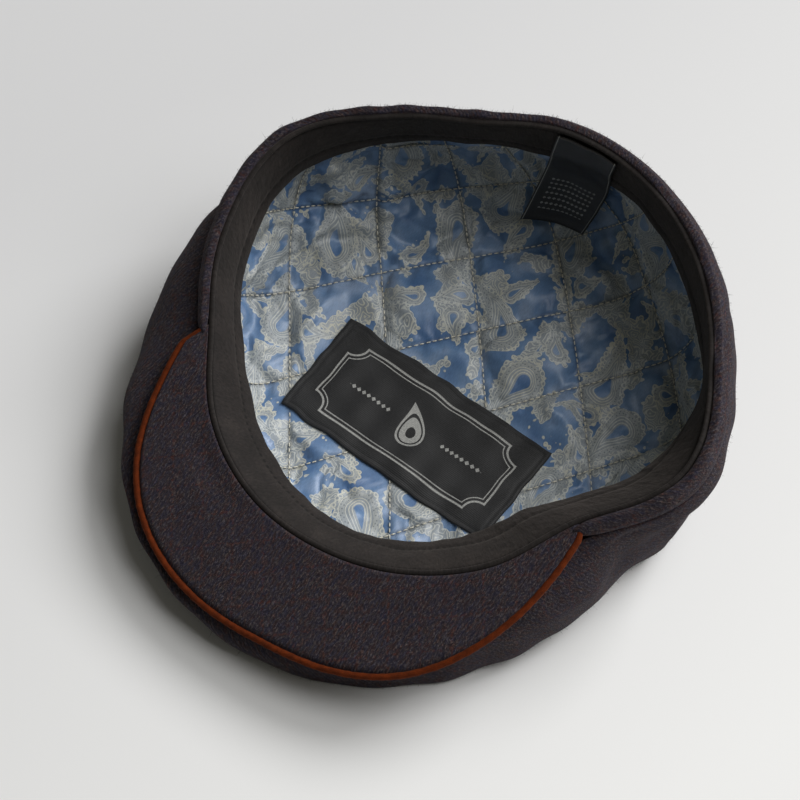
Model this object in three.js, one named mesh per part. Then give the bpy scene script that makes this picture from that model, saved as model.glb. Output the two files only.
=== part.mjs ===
// Tweed cap lying upside down on the flattened top of its crown, opening upwards.
// Millimetres, +Z up, z = 0 is the floor, the peak points to -Y, the wearer's right ear is at +X.
// Every shell is worked out in upright sections that turn about the middle of the opening.

import * as THREE from "three";

// Middle of the opening in plan, measured from the middle of the whole cap.
const HEAD_X = 2;
const HEAD_Y = 10.5;

// The rim lies in one sloping plane: its height at the origin and its rise to the back and the right.
const RIM_HEIGHT = 65.2;
const RIM_RISE_BACK = Math.tan((20 * Math.PI) / 180);
const RIM_RISE_RIGHT = Math.tan((3 * Math.PI) / 180);

// Cloth thicknesses and the air kept between neighbouring pieces.
const TWEED_WALL = 2.0;
const QUILT_WALL = 3.0;
const RIBBON_WALL = 1.2;
const GAP = 0.4;
const SEAM_GAP = GAP + 0.6;
const FOLD_GAP = 1.2;

// Hem: how far its roll starts and stands outside the bead, and how high it stands over the rim.
const HEM_START = 1.7;
const HEM_CREST = 2.6;
const HEM_ROLL = 4.6;
const HEM_RISE = 0.9;
const HEM_TUCK = 0.4;
const HEM_SWELL = 0.6;

// Ribbon: how deep it lies under the rim, its rolled edge and how evenly its steps are spread.
const RIBBON_BELOW_RIM = 0.6;
const RIBBON_ROLL = 1.0;
const BEAD_WALL = 1.0;
const BEAD_PROUD = [0.3, 0.5];
const RIBBON_SPREAD = 1.25;

// Crown: handles of its section curves, as shares of their reach, and the room that it leaves the peak.
const LEAVE_HANDLE = 0.45;
const FULL_HANDLE_UP = 0.4;
const FULL_HANDLE_DOWN = 0.42;
const FOOT_ROUND = 9;
const CROWN_UNDER_PEAK = 2.8;
const PEAK_SHADE = 1.22;
const PEAK_CLEAR = 1.0;

// Peak and its piping.
const PEAK_WALL = 3.0;
const PEAK_MIDDLE_X = -0.5;
const PEAK_CORNER_Y = -22.5;
const PEAK_HALF_WIDTH = 90;
const PEAK_DEPTH = 92;
const PEAK_POWER = 2.7;
const PEAK_TURN = 2;
const PEAK_FROM = 201;
const PEAK_TO = 338.5;
const CORD_RADIUS = 1.5;
const CORD_BELOW_RIM = 1.6;
const CORD_END_GAP = 2.2;
const CORD_START = 0.015;
const PEAK_BELOW_RIM = 0.4;
const PEAK_START = 0.03;
const PEAK_INSET = 2 * CORD_RADIUS + GAP + 0.3;

// Lining and labels.
const FLOOR_OF_LINING = TWEED_WALL + GAP + QUILT_WALL;
const FLOOR_FRONT_Y = -45.5;
const FLOOR_TILT = 7;
const LINING_EDGE = 1.2;
const LINING_GROWS = 0.6;
const LINING_TUCK = GAP + 0.5;
const LABEL_LONG = 102;
const LABEL_SHORT = 47;
const LABEL_THICK = 1.0;
const LABEL_X = -2;
const LABEL_Y = 0.5;
const LABEL_TURN = -5;
const SIZE_LABEL_WIDE = 31;
const SIZE_LABEL_LONG = 58;
const SIZE_LABEL_THICK = 0.9;
const SIZE_LABEL_AT = 83;
const SIZE_LABEL_SLANT = 8;
const SIZE_LABEL_RADIUS = 95;
const SIZE_LABEL_STATIONS = 4;

// Stations round the cap and steps along each section.
const STATIONS = 60;
const BAND_STATIONS = 40;
const CROWN_STEPS = 12;
const LINING_STEPS = 10;
const RIBBON_STEPS = 5;
const PEAK_STATIONS = 28;
const PEAK_STEPS = 4;
const CORD_STEPS = 44;

// A table written as a line of column names over rows of numbers.
function table(names, rows) {
  const columns = names.split(" ");
  return rows.map((row) => Object.fromEntries(columns.map((name, i) => [name, row[i]])));
}

// One row per section, every 22.5 degrees from the right ear round the back, radii from the middle
// of the opening. bead: outer edge of the ribbon. lean: how far the foot of the hem stands outside it.
// hem: height of the hem. sweat_r, sweat_z: inner edge of the ribbon. full_r, full_z: fullest point of
// the crown. foot: where the crown meets the floor. leave: slope at which the crown leaves the hem.
// lining_foot: where the lining reaches the bottom. bulge: how far its wall swells outwards.
const SECTIONS = table(
  "bead lean hem sweat_r sweat_z full_r full_z foot leave lining_foot bulge",
  [
    [110.0, 6.0, 8.0, 91.0, 56.0, 111.5, 33, 96, -60, 78, 8],
    [104.5, 8.0, 9.0, 102.5, 62.0, 116.5, 36, 98, -66, 79, 12],
    [100.0, 8.5, 9.0, 98.5, 71.0, 115.0, 40, 97, -62, 78, 13],
    [95.0, 8.5, 9.0, 97.5, 76.5, 112.5, 42, 95, -56, 76, 12],
    [88.5, 8.5, 9.0, 93.5, 76.0, 110.0, 43, 93, -54, 74, 12],
    [86.5, 8.5, 9.0, 92.0, 71.5, 110.5, 42, 94, -54, 74, 12],
    [94.5, 8.0, 8.0, 98.5, 63.5, 112.0, 39, 97, -60, 76, 10],
    [106.0, 6.5, 7.0, 104.0, 52.5, 115.0, 35, 99, -64, 76, 6],
    [101.5, 6.0, 6.0, 92.5, 38.5, 121.5, 32, 102, -36, 72, 5],
    [91.5, 5.0, 5.0, 77.5, 29.0, 122.5, 24, 104, -22, 68, 2],
    [90.5, 5.0, 5.0, 71.0, 24.0, 126.5, 18, 104, -20, 62, 0],
    [88.5, 5.0, 5.0, 67.0, 21.0, 131.0, 15, 104, -20, 56, 0],
    [86.5, 5.0, 5.0, 65.5, 20.5, 131.5, 14, 104, -20, 54, 0],
    [87.0, 5.0, 5.0, 65.5, 26.0, 124.5, 16, 100, -20, 58, 0],
    [89.0, 5.0, 5.0, 66.0, 34.0, 113.0, 20, 94, -30, 62, 1],
    [90.5, 5.5, 5.0, 69.0, 43.0, 104.0, 25, 89, -50, 68, 4],
  ],
);

// Dents (negative) and puffs (positive) pressed into the crown: where, how wide and how deep.
const CROWN_FOLDS = table(
  "az z wide high deep",
  [
    [348, 36, 8, 30, -6.0],
    [8, 38, 14, 20, 2.0],
    [333, 34, 12, 18, 2.0],
    [166, 52, 7, 16, -3.0],
    [186, 44, 12, 14, 2.0],
    [40, 45, 12, 30, -2.5],
    [118, 50, 12, 26, -2.5],
    [76, 45, 16, 26, 1.5],
  ],
);

// Creases where the quilted lining is drawn in: where, how wide and how deep.
const LINING_FOLDS = table(
  "az z wide high deep",
  [
    [138, 40, 6, 40, -4.0],
    [100, 35, 9, 30, -2.5],
    [60, 40, 9, 30, -3.0],
    [24, 30, 9, 26, -3.0],
    [165, 28, 7, 20, -2.0],
  ],
);

const rad = (deg) => (deg * Math.PI) / 180;

// A column of the section table at any bearing, smoothed round the closed ring.
function column(name, az) {
  const step = 360 / SECTIONS.length;
  const place = ((((az % 360) + 360) % 360) / step) % SECTIONS.length;
  const i = Math.floor(place);
  const t = place - i;
  const at = (k) => SECTIONS[(i + k + SECTIONS.length) % SECTIONS.length][name];
  const [a, b, c, d] = [at(-1), at(0), at(1), at(2)];
  const square = 2 * a - 5 * b + 4 * c - d;
  const cube = 3 * b - a - 3 * c + d;
  return b + ((c - a) * t + square * t * t + cube * t * t * t) / 2;
}

const planX = (r, az) => HEAD_X + r * Math.cos(rad(az));
const planY = (r, az) => HEAD_Y + r * Math.sin(rad(az));
const rimPlane = (x, y) => RIM_HEIGHT + RIM_RISE_BACK * y + RIM_RISE_RIGHT * x;
const rimAt = (r, az) => rimPlane(planX(r, az), planY(r, az));
const floorPlane = (x, y) => FLOOR_OF_LINING + Math.tan(rad(FLOOR_TILT)) * Math.max(0, y - FLOOR_FRONT_Y);
const place3 = ([r, z], az) => [planX(r, az), planY(r, az), z];

function bezier(p, t) {
  const u = 1 - t;
  const w = [u * u * u, 3 * u * u * t, 3 * u * t * t, t * t * t];
  return [0, 1].map((k) => w[0] * p[0][k] + w[1] * p[1][k] + w[2] * p[2][k] + w[3] * p[3][k]);
}

// Shares 0 to 1 in so many equal steps.
const steps = (count) => Array.from({ length: count + 1 }, (_, i) => i / count);

// A bump or dent of a folds table at one bearing and height.
function fold(folds, az, z) {
  let sum = 0;
  for (const f of folds) {
    const turn = ((az - f.az + 540) % 360) - 180;
    sum += f.deep * Math.exp(-((turn / f.wide) ** 2) - ((z - f.z) / f.high) ** 2);
  }
  return sum;
}

// The same line set off sideways: positive values go to the back of the cloth, away from the head.
function setOff(line, distance) {
  return line.map((p, i) => {
    const a = line[Math.max(i - 1, 0)];
    const b = line[Math.min(i + 1, line.length - 1)];
    const dr = b[0] - a[0];
    const dz = b[1] - a[1];
    const n = Math.hypot(dr, dz);
    const d = typeof distance === "number" ? distance : distance[i];
    return [p[0] - (dz / n) * d, p[1] + (dr / n) * d];
  });
}

// How far inside the edge of the peak a place in plan is: under 1 is inside.
function peakReach(x, y) {
  const [c, s] = [Math.cos(rad(PEAK_TURN)), Math.sin(rad(PEAK_TURN))];
  const [dx, dy] = [x - PEAK_MIDDLE_X, y - PEAK_CORNER_Y];
  const side = Math.abs(c * dx + s * dy) / PEAK_HALF_WIDTH;
  const out = (s * dx - c * dy) / PEAK_DEPTH;
  return out <= 0 ? Infinity : side ** PEAK_POWER + out ** PEAK_POWER;
}

// The ribbon in section, from its outer edge at the rim to its inner edge; it rolls over the rim first.
function ribbonLine(az) {
  const r = column("bead", az);
  const z = rimAt(r, az) - RIBBON_BELOW_RIM;
  const end = [column("sweat_r", az), column("sweat_z", az)];
  const dr = end[0] - r;
  const dz = end[1] - z;
  const control = [
    [r, z],
    [r + dr * 0.33 - RIBBON_ROLL, z + dz * 0.25],
    [r + dr * 0.66 - RIBBON_ROLL, z + dz * 0.62],
    end,
  ];
  return steps(RIBBON_STEPS).map((t) => bezier(control, t ** RIBBON_SPREAD));
}

const inPeak = (az) => az > PEAK_FROM - 1 && az < PEAK_TO + 1;

// The outside of the crown in section, from the seam at the hem to the edge of the flat bottom.
function crownLine(az) {
  const front = inPeak(az);
  const bead = column("bead", az);
  const rim = rimAt(bead, az);
  const below = front ? PEAK_WALL + CROWN_UNDER_PEAK : column("hem", az) + SEAM_GAP;
  const start = [bead + column("lean", az) - GAP, rim - below];
  const full = [column("full_r", az), column("full_z", az)];
  const leave = rad(column("leave", az));
  const reach = LEAVE_HANDLE * Math.hypot(full[0] - start[0], full[1] - start[1]);
  const foot = column("foot", az);
  const upper = [
    start,
    [start[0] + reach * Math.cos(leave), start[1] + reach * Math.sin(leave)],
    [full[0], full[1] + (start[1] - full[1]) * FULL_HANDLE_UP],
    full,
  ];
  const lower = [full, [full[0], full[1] * FULL_HANDLE_DOWN], [foot + FOOT_ROUND, 0], [foot, 0]];
  const half = steps(CROWN_STEPS / 2);
  const line = [...half.map((t) => bezier(upper, t)), ...half.slice(1).map((t) => bezier(lower, t))];
  return line.map(([r, z], i) => {
    const last = i === line.length - 1;
    const r2 = last || i === 0 ? r : r + fold(CROWN_FOLDS, az, z);
    const x = planX(r2, az);
    const y = planY(r2, az);
    if (!front || peakReach(x, y) > PEAK_SHADE) return [r2, z];
    return [r2, Math.min(z, rimPlane(x, y) - PEAK_WALL - PEAK_CLEAR)];
  });
}

// The visible face of the lining in section, from behind the ribbon to the bottom.
function liningLine(az) {
  const tail = setOff(ribbonLine(az), RIBBON_WALL + LINING_TUCK).slice(-3);
  const end = tail[2];
  const foot = column("lining_foot", az);
  const bulge = column("bulge", az);
  const floor = floorPlane(planX(foot, az), planY(foot, az));
  const drop = end[1] - floor;
  const control = [
    end,
    [end[0] + bulge * 0.7, end[1] - drop * 0.4],
    [foot + (end[0] - foot) * 0.75 + bulge, floor],
    [foot, floor],
  ];
  const line = [tail[0], tail[1], ...steps(LINING_STEPS).map((t) => bezier(control, t))];
  const shell = crownLine(az);
  const behind = TWEED_WALL + QUILT_WALL + GAP + FOLD_GAP;
  return line.map(([r, z], i) => {
    if (i < 2 || i === line.length - 1) return [r, z];
    const wave = fold(LINING_FOLDS, az, z) * Math.min(1, (i - 2) / 2);
    return [Math.min(r + wave, wallAt(shell, z) - behind), z];
  });
}

// Radius of a section line at a height, on its way down from the fullest point or the seam.
function wallAt(line, z) {
  let best = Infinity;
  for (let i = 0; i + 1 < line.length; i++) {
    const [a, b] = [line[i], line[i + 1]];
    if ((a[1] - z) * (b[1] - z) > 0 || a[1] === b[1]) continue;
    best = Math.min(best, a[0] + ((b[0] - a[0]) * (a[1] - z)) / (a[1] - b[1]));
  }
  return best;
}

// A closed solid from two matching grids of points, rows along the piece and steps across it.
// round: the last row joins the first. poles: both grids close on a middle point.
function solid(name, material, front, back, { round = false, poles = null } = {}) {
  const rows = front.length;
  const steps = front[0].length;
  const points = [];
  const index = [];
  const add = (p) => points.push(p) - 1;
  const f = front.map((row) => row.map(add));
  const b = back.map((row) => row.map(add));
  const quad = (p, q, r, s) => index.push(p, r, q, p, s, r);
  const spans = round ? rows : rows - 1;
  for (let i = 0; i < spans; i++) {
    const k = (i + 1) % rows;
    for (let j = 0; j + 1 < steps; j++) {
      quad(f[i][j], f[i][j + 1], f[k][j + 1], f[k][j]);
      quad(b[i][j], b[k][j], b[k][j + 1], b[i][j + 1]);
    }
    quad(f[i][0], f[k][0], b[k][0], b[i][0]);
    if (!poles) quad(f[i][steps - 1], b[i][steps - 1], b[k][steps - 1], f[k][steps - 1]);
  }
  if (poles) {
    const pf = add(poles[0]);
    const pb = add(poles[1]);
    for (let i = 0; i < rows; i++) {
      const k = (i + 1) % rows;
      index.push(f[i][steps - 1], f[k][steps - 1], pf);
      index.push(b[i][steps - 1], pb, b[k][steps - 1]);
    }
  }
  if (!round) {
    for (let j = 0; j + 1 < steps; j++) {
      quad(f[0][j], b[0][j], b[0][j + 1], f[0][j + 1]);
      quad(f[rows - 1][j], f[rows - 1][j + 1], b[rows - 1][j + 1], b[rows - 1][j]);
    }
  }
  const geometry = new THREE.BufferGeometry();
  geometry.setAttribute("position", new THREE.Float32BufferAttribute(points.flat(), 3));
  geometry.setIndex(index);
  geometry.computeVertexNormals();
  const mesh = new THREE.Mesh(geometry, material);
  mesh.name = name;
  return mesh;
}

const bearings = (from, to, count, closed) =>
  Array.from({ length: count }, (_, i) => from + ((to - from) * i) / (closed ? count : count - 1));
const around = bearings(0, 360, STATIONS, true);
const turned = (lines, list) => lines.map((line, i) => line.map((p) => place3(p, list[i])));

const cloth = (name, color) => {
  const m = new THREE.MeshStandardMaterial({ color, roughness: 0.9 });
  m.name = name;
  return m;
};
const tweed = cloth("tweed", 0x2f2a2c);
const ribbon = cloth("ribbon", 0x3a3733);
const cord = cloth("piping", 0x8c3c10);
const satin = cloth("satin", 0x6f8fbd);
const woven = cloth("woven_label", 0x1c1c1e);
const care = cloth("satin_label", 0x141416);

// Crown: soft tweed shell, closed at the bottom and open at the rim.
function makeCrown() {
  const outer = around.map(crownLine);
  const inner = outer.map((line) => setOff(line, -TWEED_WALL));
  for (const line of inner) line[line.length - 1][1] = TWEED_WALL;
  return solid("crown", tweed, turned(inner, around), turned(outer, around), {
    round: true,
    poles: [
      [HEAD_X, HEAD_Y, TWEED_WALL],
      [HEAD_X, HEAD_Y, 0],
    ],
  });
}

// Hem: rolled tweed strip from one corner of the peak round the back to the other.
function makeBand() {
  const list = bearings(PEAK_TO - 360 + 2, PEAK_FROM - 2, BAND_STATIONS, false);
  const outer = [];
  const inner = [];
  for (const az of list) {
    const bead = column("bead", az);
    const rim = rimAt(bead, az);
    const foot = bead + column("lean", az);
    const hem = column("hem", az);
    const back = foot - TWEED_WALL - HEM_TUCK;
    const start = bead + HEM_START;
    inner.push([
      [start, rim - HEM_TUCK],
      [start, rim - 0.2 * hem],
      [(start + back) / 2, rim - 0.6 * hem],
      [back, rim - hem],
    ]);
    outer.push([
      [bead + HEM_CREST, rim + HEM_RISE],
      [bead + HEM_ROLL, rim - 0.1 * hem],
      [(bead + HEM_ROLL + foot) / 2 + HEM_SWELL, rim - 0.5 * hem],
      [foot, rim - hem],
    ]);
  }
  return solid("band", tweed, turned(inner, list), turned(outer, list));
}

// Ribbon: a flat strip with a thicker rolled bead along the rim.
function makeSweatband() {
  const face = around.map(ribbonLine);
  const back = face.map((line) => setOff(line, line.map((_, i) => (i === 0 ? BEAD_WALL : RIBBON_WALL))));
  const [out, up] = BEAD_PROUD;
  const proud = face.map((line) => line.map(([r, z], i) => (i === 0 ? [r + out, z + up] : [r, z])));
  return solid("sweatband", ribbon, turned(proud, around), turned(back, around), { round: true });
}

// Lining: quilted bowl that starts behind the ribbon.
function makeLining() {
  const face = around.map(liningLine);
  const thick = (i) => Math.min(QUILT_WALL, LINING_EDGE + LINING_GROWS * i);
  const back = face.map((line) => setOff(line, line.map((_, i) => thick(i))));
  back.forEach((line, i) => {
    line.at(-1)[1] = face[i].at(-1)[1] - QUILT_WALL;
  });
  const middle = floorPlane(HEAD_X, HEAD_Y);
  return solid("lining", satin, turned(face, around), turned(back, around), {
    round: true,
    poles: [
      [HEAD_X, HEAD_Y, middle],
      [HEAD_X, HEAD_Y, middle - QUILT_WALL],
    ],
  });
}

// Edge of the peak in plan at a share of the way round it, from the left corner to the right one.
function peakEdge(share, inset) {
  const t = Math.PI * (1 - share);
  const cosine = Math.cos(t);
  const across = Math.sign(cosine) * Math.abs(cosine) ** (2 / PEAK_POWER);
  const out = Math.sin(t) ** (2 / PEAK_POWER);
  const [c, s] = [Math.cos(rad(PEAK_TURN)), Math.sin(rad(PEAK_TURN))];
  const [dx, dy] = [(PEAK_HALF_WIDTH - inset) * across, -(PEAK_DEPTH - inset) * out];
  return [PEAK_MIDDLE_X + c * dx - s * dy, PEAK_CORNER_Y + s * dx + c * dy];
}

// Peak: stiff flat blade between the rim and its own curved edge.
function makePeak() {
  const list = bearings(0, 1, PEAK_STATIONS, false);
  const top = [];
  const under = [];
  for (const share of list) {
    const az = PEAK_FROM + 2 + (PEAK_TO - PEAK_FROM - 4) * share;
    const bead = column("bead", az) + HEM_START;
    const a = [planX(bead, az), planY(bead, az)];
    const b = peakEdge(PEAK_START + (1 - 2 * PEAK_START) * share, PEAK_INSET);
    const rowTop = [];
    const rowUnder = [];
    for (const s of steps(PEAK_STEPS)) {
      const x = a[0] + (b[0] - a[0]) * s;
      const y = a[1] + (b[1] - a[1]) * s;
      const z = rimPlane(x, y) - PEAK_BELOW_RIM;
      rowTop.push([x, y, z]);
      rowUnder.push([x, y, z - PEAK_WALL]);
    }
    top.push(rowTop);
    under.push(rowUnder);
  }
  return solid("peak", tweed, under, top);
}

// Piping: round cord along the edge of the peak, turned in at both corners to meet the ribbon.
function makePiping() {
  const shares = bearings(CORD_START, 1 - CORD_START, CORD_STEPS, false);
  const plan = shares.map((share) => peakEdge(share, CORD_RADIUS));
  const [left, right] = [PEAK_FROM, PEAK_TO].map((az) => {
    const r = column("bead", az) + CORD_END_GAP + CORD_RADIUS;
    return [planX(r, az), planY(r, az)];
  });
  const centres = [left, ...plan, right].map(
    ([x, y]) => new THREE.Vector3(x, y, rimPlane(x, y) - CORD_BELOW_RIM),
  );
  const section = new THREE.Shape();
  section.absarc(0, 0, CORD_RADIUS, 0, 2 * Math.PI);
  const geometry = new THREE.ExtrudeGeometry(section, {
    extrudePath: new THREE.CatmullRomCurve3(centres),
    steps: CORD_STEPS,
    curveSegments: 4,
    bevelEnabled: false,
  });
  const mesh = new THREE.Mesh(geometry, cord);
  mesh.name = "peak_piping";
  return mesh;
}

// Label: flat woven patch lying on the lining.
function makeLabel() {
  const shape = new THREE.BoxGeometry(LABEL_LONG, LABEL_SHORT, LABEL_THICK);
  shape.rotateZ(rad(LABEL_TURN));
  shape.rotateX(rad(FLOOR_TILT));
  shape.translate(LABEL_X, LABEL_Y, floorPlane(LABEL_X, LABEL_Y) + GAP + LABEL_THICK / 2);
  const mesh = new THREE.Mesh(shape, woven);
  mesh.name = "label";
  return mesh;
}

// Size label: hangs down in front of the ribbon from just under the rim.
function makeSizeLabel() {
  const turn = ((SIZE_LABEL_WIDE / 2 / SIZE_LABEL_RADIUS) * 180) / Math.PI;
  const list = bearings(SIZE_LABEL_AT - turn, SIZE_LABEL_AT + turn, SIZE_LABEL_STATIONS, false);
  const front = [];
  const back = [];
  const behind = (az) => [...ribbonLine(az), ...liningLine(az).slice(3)];
  const middle = behind(SIZE_LABEL_AT);
  let rows = 1;
  let run = 0;
  while (run < SIZE_LABEL_LONG && rows + 1 < middle.length) {
    run += Math.hypot(middle[rows + 1][0] - middle[rows][0], middle[rows + 1][1] - middle[rows][1]);
    rows += 1;
  }
  const slant = (j) => (SIZE_LABEL_SLANT * j) / rows;
  for (const az of list) {
    const line = Array.from({ length: rows }, (_, j) => behind(az + slant(j))[j + 1]);
    const near = setOff(line, -SEAM_GAP);
    back.push(near);
    front.push(setOff(near, -SIZE_LABEL_THICK));
  }
  const place = (lines) => lines.map((line, i) => line.map((p, j) => place3(p, list[i] + slant(j))));
  return solid("size_label", care, place(front), place(back));
}

const cap = new THREE.Group();
cap.name = "tweed_cap";
cap.add(makeCrown(), makeBand(), makePeak(), makePiping());
cap.add(makeSweatband(), makeLining(), makeLabel(), makeSizeLabel());

export default cap;
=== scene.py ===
import math

import bmesh
import bpy
import numpy as np
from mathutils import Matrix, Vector


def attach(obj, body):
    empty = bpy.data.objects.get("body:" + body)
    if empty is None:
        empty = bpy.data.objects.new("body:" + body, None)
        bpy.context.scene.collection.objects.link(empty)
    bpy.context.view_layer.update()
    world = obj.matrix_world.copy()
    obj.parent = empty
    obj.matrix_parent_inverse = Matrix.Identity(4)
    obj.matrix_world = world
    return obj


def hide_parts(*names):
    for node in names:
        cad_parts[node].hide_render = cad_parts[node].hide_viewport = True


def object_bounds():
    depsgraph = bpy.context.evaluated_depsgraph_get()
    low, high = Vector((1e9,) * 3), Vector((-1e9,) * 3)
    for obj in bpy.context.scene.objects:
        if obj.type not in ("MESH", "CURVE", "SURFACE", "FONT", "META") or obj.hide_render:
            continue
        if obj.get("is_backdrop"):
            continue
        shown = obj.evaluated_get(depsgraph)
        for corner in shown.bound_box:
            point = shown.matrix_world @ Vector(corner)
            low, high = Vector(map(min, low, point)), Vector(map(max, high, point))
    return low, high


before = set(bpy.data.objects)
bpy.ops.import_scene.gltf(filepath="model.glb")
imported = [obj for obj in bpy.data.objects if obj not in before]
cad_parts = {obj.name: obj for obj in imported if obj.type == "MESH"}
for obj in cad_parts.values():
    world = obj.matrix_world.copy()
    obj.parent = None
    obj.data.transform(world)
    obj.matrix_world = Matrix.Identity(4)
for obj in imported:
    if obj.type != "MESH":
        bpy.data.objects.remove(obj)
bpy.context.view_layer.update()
scene = bpy.context.scene


# Camera.
# A long lens looks down into the upturned cap from its right front, as over a table.
# Everything below is worked out in millimetres and made in metres.
MM = 0.001
VIEW_AZIMUTH = math.radians(33)
VIEW_ELEVATION = math.radians(60)
VIEW_DISTANCE = 1100 * MM
VIEW_TARGET = Vector((-6, -4.5, 38)) * MM
PIXELS = 800
PIXELS_PER_MM = 2.54
SENSOR = 36

view_back = Vector((
    math.sin(VIEW_AZIMUTH) * math.cos(VIEW_ELEVATION),
    -math.cos(VIEW_AZIMUTH) * math.cos(VIEW_ELEVATION),
    math.sin(VIEW_ELEVATION),
))
camera_data = bpy.data.cameras.new("camera")
camera_data.sensor_width = SENSOR
camera_data.lens = SENSOR * PIXELS_PER_MM / MM * VIEW_DISTANCE / PIXELS
camera_data.clip_start = 0.05
camera_data.clip_end = 20
camera = bpy.data.objects.new("camera", camera_data)
scene.collection.objects.link(camera)
camera.rotation_mode = "QUATERNION"
camera.location = VIEW_TARGET + view_back * VIEW_DISTANCE
camera.rotation_quaternion = (-view_back).to_track_quat("-Z", "Y")
scene.camera = camera


# Studio: a pale paper floor with painted light, paler towards the front right, three large soft lamps from
# the back right, and weak light all round.
# The lowest lamp throws a soft shadow to the left, and the inside of the right wall lies in the dark.
FLOOR_SIZE = 6.0
FLOOR_SHADED = "#dbdbdc"
FLOOR_LIT = "#f4f4f3"
LAMP_DISTANCE = 4.5
LAMP_SIZE = 2.4
# Each lamp: name, bearing, elevation, power.
LAMPS = [("key_lamp", 66, 42, 152), ("side_lamp", 20, 50, 38), ("top_lamp", 34, 68, 52)]
ROOM_COLOUR = "#f3f1e2"
ROOM_STRENGTH = 0.095


def linear(code):
    """An sRGB hex colour as the linear one that a shader takes."""
    parts = [int(code[i:i + 2], 16) / 255 for i in (1, 3, 5)]
    return [c / 12.92 if c <= 0.04045 else ((c + 0.055) / 1.055) ** 2.4 for c in parts] + [1.0]


def node(tree, kind, sockets={}, out=0, **settings):
    """Adds a node, sets and links its sockets, and returns one output."""
    made = tree.nodes.new("ShaderNode" + kind)
    for name, value in settings.items():
        setattr(made, name, value)
    for key, value in sockets.items():
        if isinstance(value, bpy.types.NodeSocket):
            tree.links.new(value, made.inputs[key])
        else:
            made.inputs[key].default_value = value
    return made.outputs[out] if len(made.outputs) else made


def new_material(name):
    """An empty material and its node tree."""
    material = bpy.data.materials.new(name)
    material.use_nodes = True
    material.node_tree.nodes.clear()
    return material, material.node_tree


def shades(tree, value, stops):
    """A colour ramp: stops are (place, hex colour) from left to right."""
    ramp = node(tree, "ValToRGB", {0: value})
    elements = ramp.node.color_ramp.elements
    while len(elements) < len(stops):
        elements.new(1.0)
    for element, (place, code) in zip(elements, stops):
        element.position = place
        element.color = linear(code)
    return ramp


paper, t = new_material("matt_paper")
paper_grain = node(t, "TexNoise", {"Scale": 900.0, "Detail": 2.0})
paper_bump = node(t, "Bump", {"Height": paper_grain, "Strength": 0.04, "Distance": 0.2 * MM})
# Painted light: the paper's colour grows paler towards the front right, standing in for light that falls off
# across the floor.
paper_place = node(t, "TexCoord", out="Object")
paper_off = node(t, "VectorMath", {0: paper_place, 1: (0.9, -0.44, 0.0)}, out="Value",
                 operation="DOT_PRODUCT")
painted_falloff = node(t, "MapRange", {0: paper_off, 1: -0.2, 2: 0.18})
paper_colour = shades(t, painted_falloff, [(0.0, FLOOR_SHADED), (1.0, FLOOR_LIT)])
paper_shader = node(t, "BsdfPrincipled", {
    "Base Color": paper_colour, "Roughness": 0.9, "Normal": paper_bump, "Specular IOR Level": 0.2,
})
node(t, "OutputMaterial", {"Surface": paper_shader})

floor_mesh = bpy.data.meshes.new("floor")
half = FLOOR_SIZE / 2
floor_corners = [(-half, -half, 0), (half, -half, 0), (half, half, 0), (-half, half, 0)]
floor_mesh.from_pydata(floor_corners, [], [(0, 1, 2, 3)])
floor_mesh.materials.append(paper)
floor = bpy.data.objects.new("floor", floor_mesh)
scene.collection.objects.link(floor)
floor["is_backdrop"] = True

for lamp_name, bearing, elevation, power in LAMPS:
    bearing, elevation = math.radians(bearing), math.radians(elevation)
    lamp_way = Vector((
        math.cos(bearing) * math.cos(elevation),
        math.sin(bearing) * math.cos(elevation),
        math.sin(elevation),
    ))
    lamp_data = bpy.data.lights.new(lamp_name, "AREA")
    lamp_data.shape = "DISK"
    lamp_data.size = LAMP_SIZE
    lamp_data.energy = power
    lamp = bpy.data.objects.new(lamp_name, lamp_data)
    scene.collection.objects.link(lamp)
    lamp.location = lamp_way * LAMP_DISTANCE
    lamp.rotation_mode = "QUATERNION"
    lamp.rotation_quaternion = (-lamp_way).to_track_quat("-Z", "Y")

world = bpy.data.worlds.new("room")
world.use_nodes = True
scene.world = world
world.node_tree.nodes["Background"].inputs["Color"].default_value = linear(ROOM_COLOUR)
world.node_tree.nodes["Background"].inputs["Strength"].default_value = ROOM_STRENGTH
scene.view_settings.view_transform = "Standard"


# Crown.
# The soft body of the cap, in wool tweed of about 2 mm, sewn in under the hem and the peak.
# It lies on its own flattened top, so its walls swell out and its front bulges from under the peak.
HEAD_X, HEAD_Y = 2.0, 10.5
RIM_HEIGHT = 65.2
RIM_RISE_BACK = math.tan(math.radians(20))
RIM_RISE_RIGHT = math.tan(math.radians(3))
TWEED_WALL = 2.0
GAP = 0.4
PEAK_WALL = 3.0
PEAK_FROM, PEAK_TO = 201.0, 338.5
PEAK_MIDDLE_X = -0.5
PEAK_CORNER_Y = -22.5
PEAK_HALF_WIDTH = 90
PEAK_DEPTH = 92
PEAK_POWER = 2.7
PEAK_TURN = math.radians(2)
CROWN_STATIONS = 480
CROWN_UPPER = 26
CROWN_LOWER = 22
CROWN_BOTTOM = 8
CROWN_COLUMN = 110.0

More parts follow.
